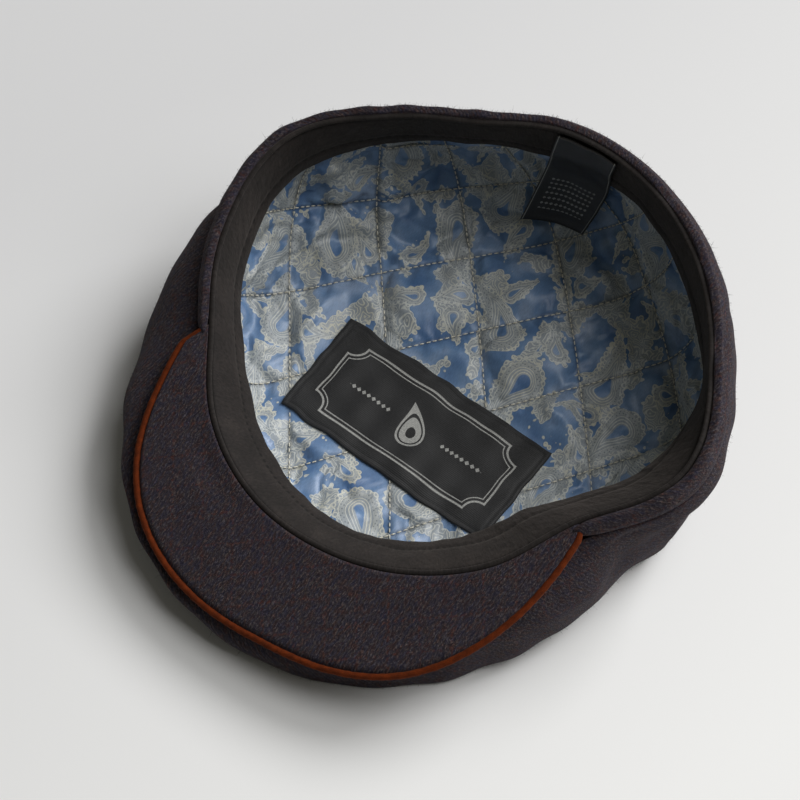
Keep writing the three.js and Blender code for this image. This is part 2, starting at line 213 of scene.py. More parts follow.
# One row per section, every 22.5 degrees from the right ear round the back.
COLUMNS = "bead lean hem sweat_r sweat_z full_r full_z foot leave lining_foot bulge".split()
SECTIONS = np.array([
    [110.0, 6.0, 8.0, 91.0, 56.0, 109.5, 33, 96, -60, 78, 8],
    [104.5, 8.0, 9.0, 102.5, 62.0, 112.0, 36, 98, -66, 79, 12],
    [100.0, 8.5, 9.0, 98.5, 71.0, 115.0, 40, 97, -62, 78, 13],
    [95.0, 8.5, 9.0, 97.5, 76.5, 112.5, 42, 95, -56, 76, 12],
    [91.0, 9.0, 9.0, 93.5, 76.0, 110.5, 43, 93, -54, 74, 12],
    [86.5, 8.5, 9.0, 92.0, 71.5, 110.5, 42, 94, -54, 74, 12],
    [94.5, 8.0, 8.0, 98.5, 63.5, 112.0, 39, 97, -60, 76, 10],
    [108.0, 6.5, 7.0, 104.0, 52.5, 115.0, 35, 99, -64, 76, 6],
    [101.5, 6.0, 6.0, 92.5, 38.5, 119.0, 30, 98, -36, 72, 5],
    [91.5, 5.0, 5.0, 77.5, 29.0, 121.5, 26, 98, -22, 68, 2],
    [90.5, 5.0, 5.0, 71.0, 24.0, 127.5, 25, 98, -20, 62, 0],
    [88.5, 5.0, 5.0, 67.0, 21.0, 131.5, 18, 104, -20, 56, 0],
    [86.5, 5.0, 5.0, 65.5, 20.5, 126.5, 8, 116, -20, 54, 0],
    [87.0, 5.0, 5.0, 65.5, 26.0, 116.5, 6, 111, -20, 58, 0],
    [89.0, 5.0, 5.0, 66.0, 34.0, 110.0, 12, 100, -30, 62, 1],
    [90.5, 5.5, 5.0, 69.0, 43.0, 106.5, 24, 91, -50, 68, 4],
])

# Dents and puffs of the crown: bearing, height, how wide, how high, how deep.
CROWN_FOLDS = [
    (348, 36, 8, 30, -6.0),
    (8, 38, 14, 20, 2.0),
    (333, 34, 12, 18, 2.0),
    (166, 52, 7, 16, -3.0),
    (186, 44, 12, 14, 2.0),
    (40, 45, 12, 30, -2.5),
    (118, 50, 12, 26, -2.5),
    (76, 45, 16, 26, 1.5),
]


def column(name, az):
    """A column of the section table at any bearings, smoothed round the closed ring."""
    values = SECTIONS[:, COLUMNS.index(name)]
    count = len(values)
    place = (np.asarray(az, float) % 360) / (360 / count)
    i = np.floor(place).astype(int)
    s = place - i
    a, b, c, d = (values[(i + k) % count] for k in (-1, 0, 1, 2))
    return b + ((c - a) * s + (2 * a - 5 * b + 4 * c - d) * s ** 2 + (3 * b - a - 3 * c + d) * s ** 3) / 2


def spin(r, z, az):
    """Points in space of a section's radii and heights at bearings in degrees."""
    turn = np.radians(az)
    return np.stack(np.broadcast_arrays(HEAD_X + r * np.cos(turn), HEAD_Y + r * np.sin(turn), z), -1)


def rim_plane(x, y):
    """Height of the sloping plane of the opening over a place in plan."""
    return RIM_HEIGHT + RIM_RISE_BACK * y + RIM_RISE_RIGHT * x


def rim_at(r, az):
    """The same height at a radius and a bearing."""
    turn = np.radians(az)
    return rim_plane(HEAD_X + r * np.cos(turn), HEAD_Y + r * np.sin(turn))


def bezier(points, s):
    """Section curves at shares s, for points that are pairs of arrays over the bearings."""
    weights = [(1 - s) ** 3, 3 * (1 - s) ** 2 * s, 3 * (1 - s) * s ** 2, s ** 3]
    return np.stack([sum(np.multiply.outer(np.asarray(p[k], float), w) for p, w in zip(points, weights))
                     for k in (0, 1)], -1)


def set_off(line, distance):
    """The same section lines moved sideways, away from the head."""
    before = np.concatenate([line[:, :1], line[:, :-1]], 1)
    after = np.concatenate([line[:, 1:], line[:, -1:]], 1)
    along = after - before
    along /= np.linalg.norm(along, axis=-1, keepdims=True)
    return line + np.stack([-along[..., 1], along[..., 0]], -1) * np.asarray(distance)[..., None]


def folds(table, az, z):
    """Sum of the dents and puffs of a table at bearings and heights."""
    total = 0
    for at, height, wide, high, deep in table:
        turn = (az - at + 540) % 360 - 180
        total = total + deep * np.exp(-(turn / wide) ** 2 - ((z - height) / high) ** 2)
    return total


def waves(seed, x, y, longest, count=10):
    """A smooth random surface between about -1 and 1, made of a few seeded sine waves."""
    random = np.random.default_rng(seed)
    total = 0
    for _ in range(count):
        way = random.uniform(0, 2 * np.pi)
        pace = 2 * np.pi / (longest * random.uniform(0.35, 1.0))
        total = total + np.sin((np.cos(way) * x + np.sin(way) * y) * pace + random.uniform(0, 2 * np.pi))
    return total / math.sqrt(count)


def ease(low, high, value):
    """Rises smoothly from 0 at the low value to 1 at the high one."""
    s = np.clip((value - low) / (high - low), 0, 1)
    return s * s * (3 - 2 * s)


def arc(line):
    """Length run along each section line, or along one line of points."""
    run = np.linalg.norm(np.diff(line, axis=-2), axis=-1)
    return np.concatenate([np.zeros_like(run[..., :1]), np.cumsum(run, -1)], -1)


def corners(grid):
    """The four corner values of every face of a grid of values."""
    four = [grid[:-1, :-1], grid[:-1, 1:], grid[1:, 1:], grid[1:, :-1]]
    return np.stack(four, 2).reshape(-1, 4, grid.shape[-1])


def piece(name, points, faces, material, attributes={}, replaced=None):
    """A smooth mesh object from points in millimetres, riding on the cap."""
    mesh = bpy.data.meshes.new(name)
    faces = faces.tolist() if isinstance(faces, np.ndarray) else faces
    mesh.from_pydata((np.asarray(points).reshape(-1, 3) * MM).tolist(), [], faces)
    for key, values in attributes.items():
        flat = np.asarray(values, dtype=np.float32).reshape(-1, np.shape(values)[-1])
        if flat.shape[1] == 2:
            flat = np.concatenate([flat, np.zeros((len(flat), 1), np.float32)], 1)
        domain = "CORNER" if len(flat) == len(mesh.loops) else "POINT"
        mesh.attributes.new(key, "FLOAT_VECTOR", domain).data.foreach_set("vector", flat.ravel())
    work = bmesh.new()
    work.from_mesh(mesh)
    bmesh.ops.remove_doubles(work, verts=work.verts, dist=1e-7)
    bmesh.ops.recalc_face_normals(work, faces=work.faces)
    for face in work.faces:
        face.smooth = True
    work.to_mesh(mesh)
    work.free()
    mesh.materials.append(material)
    made = bpy.data.objects.new(name, mesh)
    scene.collection.objects.link(made)
    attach(made, "root")
    if replaced:
        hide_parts(replaced)
    return made


def loft(profiles, ring):
    """Faces over closed profiles that follow one another, joined into a ring or open at both ends."""
    count, size = profiles.shape[:2]
    rows = count if ring else count - 1
    i, j = np.meshgrid(np.arange(rows), np.arange(size), indexing="ij")
    k, l = (i + 1) % count, (j + 1) % size
    return np.stack([i * size + j, i * size + l, k * size + l, k * size + j], -1).reshape(-1, 4)


# Wool tweed: coarse woollen twill in a very dark marl of navy, brown and olive, with rust flecks that lie
# thickest along a faint check. Rough and unglossy, with the pale bloom of its loose fibres at grazing angles.
# Real yarns are about 1 mm and the twill 1.2 mm; the twill's lines are drawn 1.5 mm apart so that they show.
TWILL = 1.5
CHECK = 6.0
tweed, t = new_material("wool_tweed")
place = node(t, "Attribute", out=1, attribute_name="cloth")
wander = node(t, "TexNoise", {"Vector": place, "Scale": 0.35, "Detail": 2.0}, out=1)
shift = node(t, "VectorMath", {0: wander, 1: (0.5, 0.5, 0.5)}, operation="SUBTRACT")
soft = node(t, "VectorMath", {0: shift, 1: (1.6, 1.6, 0.0), 2: place}, operation="MULTIPLY_ADD")
turned = node(t, "VectorRotate", {"Vector": soft, "Angle": math.radians(38)}, rotation_type="Z_AXIS")
along = node(t, "SeparateXYZ", {0: turned})
ridge = node(t, "Math", {0: along, 1: 2 * math.pi / TWILL}, operation="MULTIPLY")
twill = node(t, "Math", {0: ridge}, operation="SINE")
stretched = node(t, "VectorMath", {0: turned, 1: (1.5, 0.6, 1.0)}, operation="MULTIPLY")
marl = node(t, "TexNoise", {"Vector": stretched, "Scale": 1.35, "Detail": 3.0, "Roughness": 0.75})
cloud = node(t, "TexNoise", {"Vector": place, "Scale": 0.045, "Detail": 3.0})
yarn = node(t, "TexVoronoi", {"Vector": stretched, "Scale": 1.25}, out="Color")
pick = node(t, "SeparateColor", {0: yarn})
base = shades(t, marl, [(0.34, "#0f0c10"), (0.45, "#272329"), (0.54, "#433c3a"), (0.66, "#7c7371")])
tinted = node(t, "Mix", {0: cloud, 6: base, 7: linear("#342e39")}, out=2, data_type="RGBA", blend_type="MIX")
fleck = shades(t, pick, [(0.0, "#4a2a20"), (0.05, "#4a2a20"), (0.06, "#2a3140"), (0.2, "#2a3140"),
                         (0.21, "#403f30"), (0.28, "#403f30"), (0.29, "#655f5c"), (0.35, "#655f5c"),
                         (0.36, "#1d1b1e")])
fleck.node.color_ramp.interpolation = "CONSTANT"
grain = node(t, "TexNoise", {"Vector": place, "Scale": 3.1, "Detail": 2.0})
fleck_share = node(t, "MapRange", {0: grain, 1: 0.35, 2: 0.72, 3: 0.0, 4: 0.5})
flecked = node(t, "Mix", {0: fleck_share, 6: tinted, 7: fleck}, out=2, data_type="RGBA")
hue = node(t, "TexNoise", {"Vector": stretched, "Scale": 0.42, "Detail": 2.0})
hue = shades(t, hue, [(0.38, "#ffe2d8"), (0.5, "#ffffff"), (0.62, "#e0e6ff")])
flecked = node(t, "Mix", {0: 1.0, 6: flecked, 7: hue}, out=2, data_type="RGBA", blend_type="MULTIPLY")
soft_xy = node(t, "SeparateXYZ", {0: soft}).node
lines = []
for axis in (0, 1):
    wrapped = node(t, "Math", {0: soft_xy.outputs[axis], 1: CHECK}, operation="PINGPONG")
    lines.append(node(t, "MapRange", {0: wrapped, 1: 0.3, 2: 0.8, 3: 1.0, 4: 0.0}))
check = node(t, "Math", {0: lines[0], 1: lines[1]}, operation="MAXIMUM")
dash = node(t, "MapRange", {0: node(t, "TexNoise", {"Vector": place, "Scale": 0.7}), 1: 0.47, 2: 0.6})
check_share = node(t, "Math", {0: check, 1: dash}, operation="MULTIPLY")
check_weak = node(t, "Math", {0: check_share, 1: 0.30}, operation="MULTIPLY")
checked = node(t, "Mix", {0: check_weak, 6: flecked, 7: linear("#5c2d1c")}, out=2, data_type="RGBA")
shade = node(t, "MapRange", {0: twill, 1: -1.0, 2: 1.0, 3: 0.86, 4: 1.14})
tweed_colour = node(t, "VectorMath", {0: checked, 3: shade}, operation="SCALE")
relief = node(t, "Math", {0: twill, 1: 0.13, 2: marl}, operation="MULTIPLY_ADD")
relief_fine = node(t, "Math", {0: grain, 1: 0.6, 2: relief}, operation="MULTIPLY_ADD")
tweed_bump = node(t, "Bump", {"Height": relief_fine, "Strength": 0.8, "Distance": 0.6 * MM})
tweed_shader = node(t, "BsdfPrincipled", {
    "Base Color": tweed_colour, "Roughness": 0.95, "Specular IOR Level": 0.15, "Normal": tweed_bump,
    "Sheen Weight": 0.12, "Sheen Roughness": 0.5, "Sheen Tint": linear("#b9b2b6"),
})
node(t, "OutputMaterial", {"Surface": tweed_shader})


def peak_reach(x, y):
    """How far inside the edge of the peak a place in plan is: under 1 is inside."""
    c, s = math.cos(PEAK_TURN), math.sin(PEAK_TURN)
    dx, dy = x - PEAK_MIDDLE_X, y - PEAK_CORNER_Y
    side = np.abs(c * dx + s * dy) / PEAK_HALF_WIDTH
    out = (s * dx - c * dy) / PEAK_DEPTH
    return np.where(out <= 0, 9.0, side ** PEAK_POWER + np.maximum(out, 0) ** PEAK_POWER)


def crown_line(az):
    """The outside of the crown in section, from the seam at the hem to the edge of the flat bottom."""
    front = ease(PEAK_FROM - 3, PEAK_FROM + 1, az) * (1 - ease(PEAK_TO - 1, PEAK_TO + 3, az))
    bead = column("bead", az)
    rim = rim_at(bead, az)
    below = front * (PEAK_WALL + 2.8) + (1 - front) * (column("hem", az) + 1.0)
    start = (bead + column("lean", az) - GAP, rim - below)
    full = (column("full_r", az), column("full_z", az))
    leave = np.radians(column("leave", az))
    reach = 0.45 * np.hypot(full[0] - start[0], full[1] - start[1])
    foot = column("foot", az)
    upper = [start, (start[0] + reach * np.cos(leave), start[1] + reach * np.sin(leave)),
             (full[0], full[1] + (start[1] - full[1]) * 0.4), full]
    lower = [full, (full[0], full[1] * 0.42), (foot + 9, 0 * foot), (foot, 0 * foot)]
    line = np.concatenate([bezier(upper, np.linspace(0, 1, CROWN_UPPER)),
                           bezier(lower, np.linspace(0, 1, CROWN_LOWER)[1:])], 1)
    turn = az[:, None]
    r, z = line[..., 0], line[..., 1]
    steps, last = np.arange(line.shape[1]), line.shape[1] - 1
    hold = ease(0, 6, steps) * (1 - ease(last - 6, last, steps))
    r = r + folds(CROWN_FOLDS, turn, z) * hold
    r = r + waves(3, turn * 1.9, z, 46) * 0.55 * hold
    at = spin(r, z, turn)
    most = rim_plane(at[..., 0], at[..., 1]) - PEAK_WALL - 1.6
    shaded = front[:, None] * (1 - ease(1.16, 1.40, peak_reach(at[..., 0], at[..., 1])))
    over = np.logaddexp(0, (z - most) / 1.2) * 1.2
    return np.stack([r, z - over * shaded], -1)


crown_az = np.arange(CROWN_STATIONS) * 360 / CROWN_STATIONS
outer = crown_line(crown_az)
inner = set_off(outer, np.full(outer.shape[1], -TWEED_WALL))
inner[:, -1, 1] = TWEED_WALL
inner[..., 1] = np.maximum(inner[..., 1], TWEED_WALL)
shares = np.linspace(1, 0, CROWN_BOTTOM + 1)[1:]
flat_out = np.stack([outer[:, -1:, 0] * shares, np.zeros((CROWN_STATIONS, CROWN_BOTTOM))], -1)
flat_in = np.stack([inner[:, -1:, 0] * shares, np.full((CROWN_STATIONS, CROWN_BOTTOM), TWEED_WALL)], -1)
section = np.concatenate([outer, flat_out, flat_in[:, ::-1], inner[:, ::-1]], 1)
crown_points = spin(section[..., 0], section[..., 1], crown_az[:, None])
crown_faces = loft(crown_points, ring=True)
run = arc(section)
run = np.concatenate([run, run[:, -1:] + 1], 1)
run = np.concatenate([run, run[:1]], 0)
wrap = np.arange(CROWN_STATIONS + 1)[:, None] * 2 * math.pi / CROWN_STATIONS * CROWN_COLUMN
wall_cloth = corners(np.stack(np.broadcast_arrays(wrap, run), -1))
closed = np.concatenate([crown_points, crown_points[:, :1]], 1)
closed = np.concatenate([closed, closed[:1]], 0)
plan_cloth = corners(closed[..., :2])
from_floor = np.abs(np.arange(section.shape[1]) - outer.shape[1] - CROWN_BOTTOM + 0.5)
in_floor = np.tile(from_floor < CROWN_BOTTOM + 1, CROWN_STATIONS)
crown_cloth = np.where(in_floor[:, None, None], plan_cloth, wall_cloth)
crown = piece("crown_tweed", crown_points, crown_faces, tweed, {"cloth": crown_cloth}, "crown")


# Band.
# The hem of the crown: tweed turned over the edge in a soft roll, from one corner of the peak round the back.
# It is sewn to the ribbon inside, so its crest is a little uneven.
BAND_STATIONS = 420
BAND_ROUND = 4
BAND_PAST_CORNER = 2.6
BAND_TIP = 12


def capped(profiles):
    """Faces over closed profiles that follow one another, with a flat face at both ends."""
    count, size = profiles.shape[:2]
    ends = [list(range(size)), list(range((count - 1) * size, count * size))]
    return loft(profiles, ring=False).tolist() + ends


def smooth_loop(points, parts):
    """Closed rows of points with so many smooth parts between each two."""
    a, b, c, d = (np.roll(points, k, axis=1) for k in (1, 0, -1, -2))
    rows = []
    for s in np.arange(parts) / parts:
        rows.append(b + ((c - a) * s + (2 * a - 5 * b + 4 * c - d) * s ** 2
                         + (3 * b - a - 3 * c + d) * s ** 3) / 2)
    return np.stack(rows, 2).reshape(len(points), -1, points.shape[-1])


band_az = np.linspace(PEAK_TO - 360 - BAND_PAST_CORNER, PEAK_FROM + BAND_PAST_CORNER, BAND_STATIONS)
bead = column("bead", band_az)
rim = rim_at(bead, band_az)
foot = bead + column("lean", band_az)
hem = column("hem", band_az)
from_end = np.minimum(np.arange(BAND_STATIONS), np.arange(BAND_STATIONS)[::-1])
lump = waves(11, band_az * 1.8, 0, 34) * 0.5 * ease(0, 10, from_end)
back = foot - TWEED_WALL - 0.4
start = bead + 0.6
loop = np.stack([
    np.stack([start, rim - 0.4], -1),
    np.stack([start + 0.5, rim + 0.5 + lump], -1),
    np.stack([bead + 3.3, rim + 0.95 + lump], -1),
    np.stack([bead + 4.6 + lump * 0.5, rim - 0.1 * hem + lump], -1),
    np.stack([(bead + 4.6 + foot) / 2 + 0.7 + lump * 0.6, rim - 0.5 * hem], -1),
    np.stack([foot + 0.2, rim - 0.85 * hem], -1),
    np.stack([foot - 0.2, rim - hem], -1),
    np.stack([back, rim - hem], -1),
    np.stack([(start + back) / 2, rim - 0.6 * hem], -1),
    np.stack([start, rim - 0.25 * hem], -1),
], 1)
band_section = smooth_loop(loop, BAND_ROUND)
# Both ends close in a rounded tip.
closing = np.sqrt(1 - (1 - np.minimum(1, (from_end + 0.3) / BAND_TIP)) ** 2)[:, None, None]
heart = np.stack([bead + 2.2, rim - 0.6], -1)[:, None]
band_section = heart + (band_section - heart) * closing
band_points = spin(band_section[..., 0], band_section[..., 1], band_az[:, None])
band_faces = capped(band_points)
run = arc(np.concatenate([band_section, band_section[:, :1]], 1)) + 40
wrap = np.radians(band_az)[:, None] * CROWN_COLUMN
band_cloth = corners(np.stack(np.broadcast_arrays(wrap, run), -1)).reshape(-1, 2)
band_caps = np.concatenate([band_section[0], band_section[-1]])
band = piece("band_tweed", band_points, band_faces, tweed,
             {"cloth": np.concatenate([band_cloth, band_caps])}, "band")


# Wool fuzz.
# Loose ends of the tweed's wool that stand off its surface, all over the crown and the band.
# They are part of the cloth, about 1 to 2 mm long and a few up to 5 mm, and under a tenth of one thick.
FUZZ_SIDES = 3
FUZZ_ON_CROWN, FUZZ_ON_BAND = 5200, 3800
HAIR_POINTS = 2 + 2 * FUZZ_SIDES
random = np.random.default_rng(19)
fuzz_from, fuzz_up = [], []
for points, count in ((crown_points[:, :outer.shape[1] - 4], FUZZ_ON_CROWN),
                      (band_points[:, 2:26], FUZZ_ON_BAND)):
    i = random.integers(1, points.shape[0] - 1, count)
    j = random.integers(1, points.shape[1] - 1, count)
    normal = np.cross(points[i, j + 1] - points[i, j - 1], points[i + 1, j] - points[i - 1, j])
    normal /= np.linalg.norm(normal, axis=1, keepdims=True)
    outward = points[i, j] - np.array([HEAD_X, HEAD_Y, 40.0])
    normal *= np.sign((normal * outward * (1, 1, 0.2)).sum(1, keepdims=True))
    fuzz_from.append(points[i, j] + (points[i, j + 1] - points[i, j]) * random.random((count, 1)))
    fuzz_up.append(normal)
fuzz_from, fuzz_up = np.concatenate(fuzz_from), np.concatenate(fuzz_up)
count = len(fuzz_from)
fuzz_long = random.uniform(0.9, 2.2, count) + 2.5 * (random.random(count) > 0.985)
lean_way = random.normal(size=(count, 3))
bend_way = random.normal(size=(count, 3))
first = fuzz_up + 0.9 * lean_way
first /= np.linalg.norm(first, axis=1, keepdims=True)
last = fuzz_up * 0.4 + 0.9 * lean_way + 0.7 * bend_way
last /= np.linalg.norm(last, axis=1, keepdims=True)
shares = np.linspace(0, 1, 4)
hair = (fuzz_from - fuzz_up * 0.3)[:, None] + fuzz_long[:, None, None] * (
    first[:, None] * shares[:, None] + (last - first)[:, None] * (shares ** 2 / 2)[:, None])
hair[..., 2] = np.maximum(hair[..., 2], 0.1)
spread = np.cross(first, last + 0.01)
spread /= np.linalg.norm(spread, axis=1, keepdims=True)
other = np.cross(spread, first)
turn = np.arange(FUZZ_SIDES) * 2 * np.pi / FUZZ_SIDES
circle = np.cos(turn)[None, :, None] * spread[:, None] + np.sin(turn)[None, :, None] * other[:, None]
rings = hair[:, 1:3, None] + circle[:, None] * np.array([0.045, 0.03])[:, None, None]
fuzz_points = np.concatenate([hair[:, :1], rings.reshape(count, -1, 3), hair[:, 3:]], 1)
one = []
for k in range(FUZZ_SIDES):
    n = (k + 1) % FUZZ_SIDES
    one += [[0, 1 + n, 1 + k], [1 + k, 1 + n, 4 + n], [1 + k, 4 + n, 4 + k], [4 + k, 4 + n, 7]]
fuzz_faces = (np.array(one)[None] + (np.arange(count) * HAIR_POINTS)[:, None, None]).reshape(-1, 3)
fuzz_cloth = np.repeat(random.uniform(0, 300, (count, 1, 2)), HAIR_POINTS, 1)
fuzz = piece("wool_fuzz", fuzz_points, fuzz_faces, tweed, {"cloth": fuzz_cloth})


# Peak.
# A stiff board of about 3 mm covered in the same tweed, sewn under the front of the hem.
# It lies almost flat in the plane of the rim, and its cloth is cut in one piece, so its check runs straight.
PEAK_STATIONS = 200
PEAK_STEPS = 30
CORD_RADIUS = 1.3
PEAK_GRAIN = math.radians(33)
# How far its edge stands out of its even curve: share of the way round from the left corner, and millimetres.
PEAK_TRIM = np.array([
    (0.0, 0.5), (0.02, 0.9), (0.1, 1.9), (0.18, 1.6), (0.3, 0.2), (0.38, 0.4), (0.5, 2.2),
    (0.58, 0.9), (0.66, -0.2), (0.78, -2.1), (0.86, -1.6), (0.94, 0.0), (1.0, 1.7),
])


def peak_edge(share, inset):
    """Edge of the peak in plan, from its left corner (0) to its right one (1)."""
    t_edge = np.pi * (1 - share)
    across = np.sign(np.cos(t_edge)) * np.abs(np.cos(t_edge)) ** (2 / PEAK_POWER)
    out = np.abs(np.sin(t_edge)) ** (2 / PEAK_POWER)
    c, s = math.cos(PEAK_TURN), math.sin(PEAK_TURN)
    trim = sum(np.interp(share + k * 0.02, *PEAK_TRIM.T) for k in range(-3, 4)) / 7
    dx, dy = (PEAK_HALF_WIDTH - inset + trim) * across, -(PEAK_DEPTH - inset + trim) * out
    return np.stack([PEAK_MIDDLE_X + c * dx - s * dy, PEAK_CORNER_Y + s * dx + c * dy], -1)


share = np.linspace(0, 1, PEAK_STATIONS)
peak_az = PEAK_FROM + 0.6 + (PEAK_TO - PEAK_FROM - 1.2) * share
near = spin(column("bead", peak_az) + 0.5, 0.0, peak_az)[:, :2]
cord_edge = peak_edge(0.012 + 0.976 * share, CORD_RADIUS)
way = np.gradient(cord_edge, axis=0)
way /= np.linalg.norm(way, axis=1, keepdims=True)
far = cord_edge + np.stack([-way[:, 1], way[:, 0]], -1) * (CORD_RADIUS - 0.2)
s = np.linspace(0, 1, PEAK_STEPS)
peak_plan = near[:, None] + (far - near)[:, None] * s[:, None]
peak_top = rim_plane(peak_plan[..., 0], peak_plan[..., 1]) - 0.4
sag = waves(21, peak_plan[..., 0], peak_plan[..., 1], 60) * 0.28 * np.sin(np.pi * s) ** 0.5
reach = np.linalg.norm(far - near, axis=1)[:, None] * s
pressed = np.exp(-((reach - 7) / 5) ** 2) * np.exp(-((peak_az - 236) / 13) ** 2)[:, None]
sag = sag - 1.3 * pressed
edge = np.minimum(reach[:, -1:] - reach, 1.5) / 1.5
round_off = 1.5 * (1 - np.sqrt(1 - (1 - edge) ** 2))
upper = np.concatenate([peak_plan, (peak_top + sag * 0.8 - round_off * 0.9)[..., None]], -1)
under = np.concatenate([peak_plan, (peak_top - PEAK_WALL + sag * 0.4 + round_off * 0.9)[..., None]], -1)
peak_points = np.concatenate([upper, under[:, ::-1]], 1)
peak_faces = capped(peak_points)
c, s = math.cos(PEAK_GRAIN), math.sin(PEAK_GRAIN)
peak_flat = np.stack([c * peak_points[..., 0] + s * peak_points[..., 1],
                      c * peak_points[..., 1] - s * peak_points[..., 0]], -1)
peak_cloth = corners(np.concatenate([peak_flat, peak_flat[:, :1]], 1)).reshape(-1, 2)
peak_caps = np.concatenate([peak_flat[0], peak_flat[-1]])
peak = piece("peak_tweed", peak_points, peak_faces, tweed,
             {"cloth": np.concatenate([peak_cloth, peak_caps])}, "peak")


# Piping.
# A rust-coloured cord of suede-like cloth, 2.6 mm thick, sewn into the edge of the peak.
# At both corners it is turned in to the hem, where it ends under the ribbon's roll.
CORD_POINTS = 420
CORD_SIDES = 16


def at_length(line, run, at):
    """Points of a line at wanted lengths along it."""
    return np.stack([np.interp(at, run, line[:, k]) for k in range(line.shape[-1])], -1)


cord_plan = peak_edge(np.linspace(0.012, 0.988, 240), CORD_RADIUS)
ends = []
for at in (PEAK_FROM + 1.0, PEAK_TO - 1.0):
    ends.append(spin(column("bead", np.array([at])) + 1.2, 0.0, np.array([at]))[0, :2])
cord_plan = np.concatenate([[ends[0]], cord_plan, [ends[1]]])
cord_run = arc(cord_plan)
cord_at = np.linspace(0, cord_run[-1], CORD_POINTS)
cord_plan = at_length(cord_plan, cord_run, cord_at)
for _ in range(6):
    cord_plan[1:-1] = (cord_plan[:-2] + 2 * cord_plan[1:-1] + cord_plan[2:]) / 4
cord_line = np.concatenate([cord_plan, (rim_plane(cord_plan[:, 0], cord_plan[:, 1]) - 1.6)[:, None]], 1)


def tube(line, radii, sides):
    """Closed rings of points round a line."""
    way = np.gradient(line, axis=0)
    way /= np.linalg.norm(way, axis=1, keepdims=True)
    side = np.cross(way, [0.0, 0.0, 1.0])
    side /= np.linalg.norm(side, axis=1, keepdims=True)
    up = np.cross(side, way)
    turn = np.arange(sides) * 2 * np.pi / sides
    ring = np.cos(turn)[None, :, None] * side[:, None] + np.sin(turn)[None, :, None] * up[:, None]
    return line[:, None] + ring * radii[..., None]


thin = np.minimum(1, np.sqrt(np.minimum(cord_at, cord_at[::-1]) / 1.5))
turn = np.arange(CORD_SIDES) * 2 * np.pi / CORD_SIDES
crease = 0.05 * np.sin(cord_at[:, None] * 1.9 + turn * 2) + 0.06 * waves(31, cord_at[:, None], turn * 1.5, 9)
cord_radii = np.maximum(0.001, (CORD_RADIUS + crease) * thin[:, None])
cord_points = tube(cord_line, cord_radii, CORD_SIDES)
cord_faces = capped(cord_points)
wrap = np.arange(CORD_SIDES + 1) * 2 * np.pi / CORD_SIDES * CORD_RADIUS
cord_cloth = corners(np.stack(np.broadcast_arrays(cord_at[:, None], wrap), -1)).reshape(-1, 2)

# Brushed suede cloth: rust brown, quite unglossy, with a light nap that pales its rims.
# Its blotches are 2 to 6 mm long and its nap 0.3 mm, as on real suede cord.
suede, t = new_material("rust_suede_cloth")
place = node(t, "Attribute", out=1, attribute_name="cloth")
nap = node(t, "TexNoise", {"Vector": place, "Scale": 3.0, "Detail": 4.0, "Roughness": 0.7})
blotch = node(t, "TexNoise", {"Vector": place, "Scale": 0.35, "Detail": 2.0})
mixed = node(t, "Math", {0: blotch, 1: 0.5, 2: nap}, operation="MULTIPLY_ADD")
suede_colour = shades(t, mixed, [(0.5, "#321103"), (0.75, "#542005"), (0.98, "#722e08")])
suede_bump = node(t, "Bump", {"Height": nap, "Strength": 0.6, "Distance": 0.2 * MM})
suede_shader = node(t, "BsdfPrincipled", {
    "Base Color": suede_colour, "Roughness": 0.9, "Specular IOR Level": 0.15, "Normal": suede_bump,
    "Sheen Weight": 0.08, "Sheen Roughness": 0.45, "Sheen Tint": linear("#e09050"),
})
node(t, "OutputMaterial", {"Surface": suede_shader})
piping = piece("piping_cord", cord_points, cord_faces, suede,
               {"cloth": np.concatenate([cord_cloth, np.zeros((2 * CORD_SIDES, 2))])}, "peak_piping")


# Sweatband.
# A charcoal grosgrain ribbon, 27 mm wide and about 1 mm thick, sewn round the inside of the opening.
# Its outer edge is a narrow roll with a groove beside it, a seam runs along it, and its inner edge is loose.
RIBBON_STATIONS = 720
RIBBON_STEPS = 61
RIBBON_COLUMN = 97
RIBBON_ROLL = 1.0
RIBBON_WALL = 1.2
RIBBON_BELOW_RIM = 0.6
# Places across the ribbon: its groove, where it starts to lie flat, and its seam.
RIBBON_GROOVE, RIBBON_FLAT, RIBBON_SEAM = 2.3, 3.6, 18.5


def ribbon_line(az, s):
    """The ribbon's face in section, from its outer edge at the rim to its inner edge."""
    r = column("bead", az)
    z = rim_at(r, az) - RIBBON_BELOW_RIM
    end_r, end_z = column("sweat_r", az), column("sweat_z", az)
    dr, dz = end_r - r, end_z - z
    return bezier([(r, z), (r + dr * 0.33 - RIBBON_ROLL, z + dz * 0.25),
                   (r + dr * 0.66 - RIBBON_ROLL, z + dz * 0.62), (end_r, end_z)], s)


def along_lines(lines, run, wanted):
    """Points at wanted lengths along each of many section lines."""
    return np.stack([at_length(line, d, w) for line, d, w in zip(lines, run, wanted)])


ring_az = np.arange(RIBBON_STATIONS) * 360 / RIBBON_STATIONS
face = ribbon_line(ring_az, np.linspace(0, 1, RIBBON_STEPS))
face_run = arc(face)
width = face_run[:, -1:] - 0.9 + 0.5 * waves(44, ring_az[:, None] * 1.4, 0, 26)
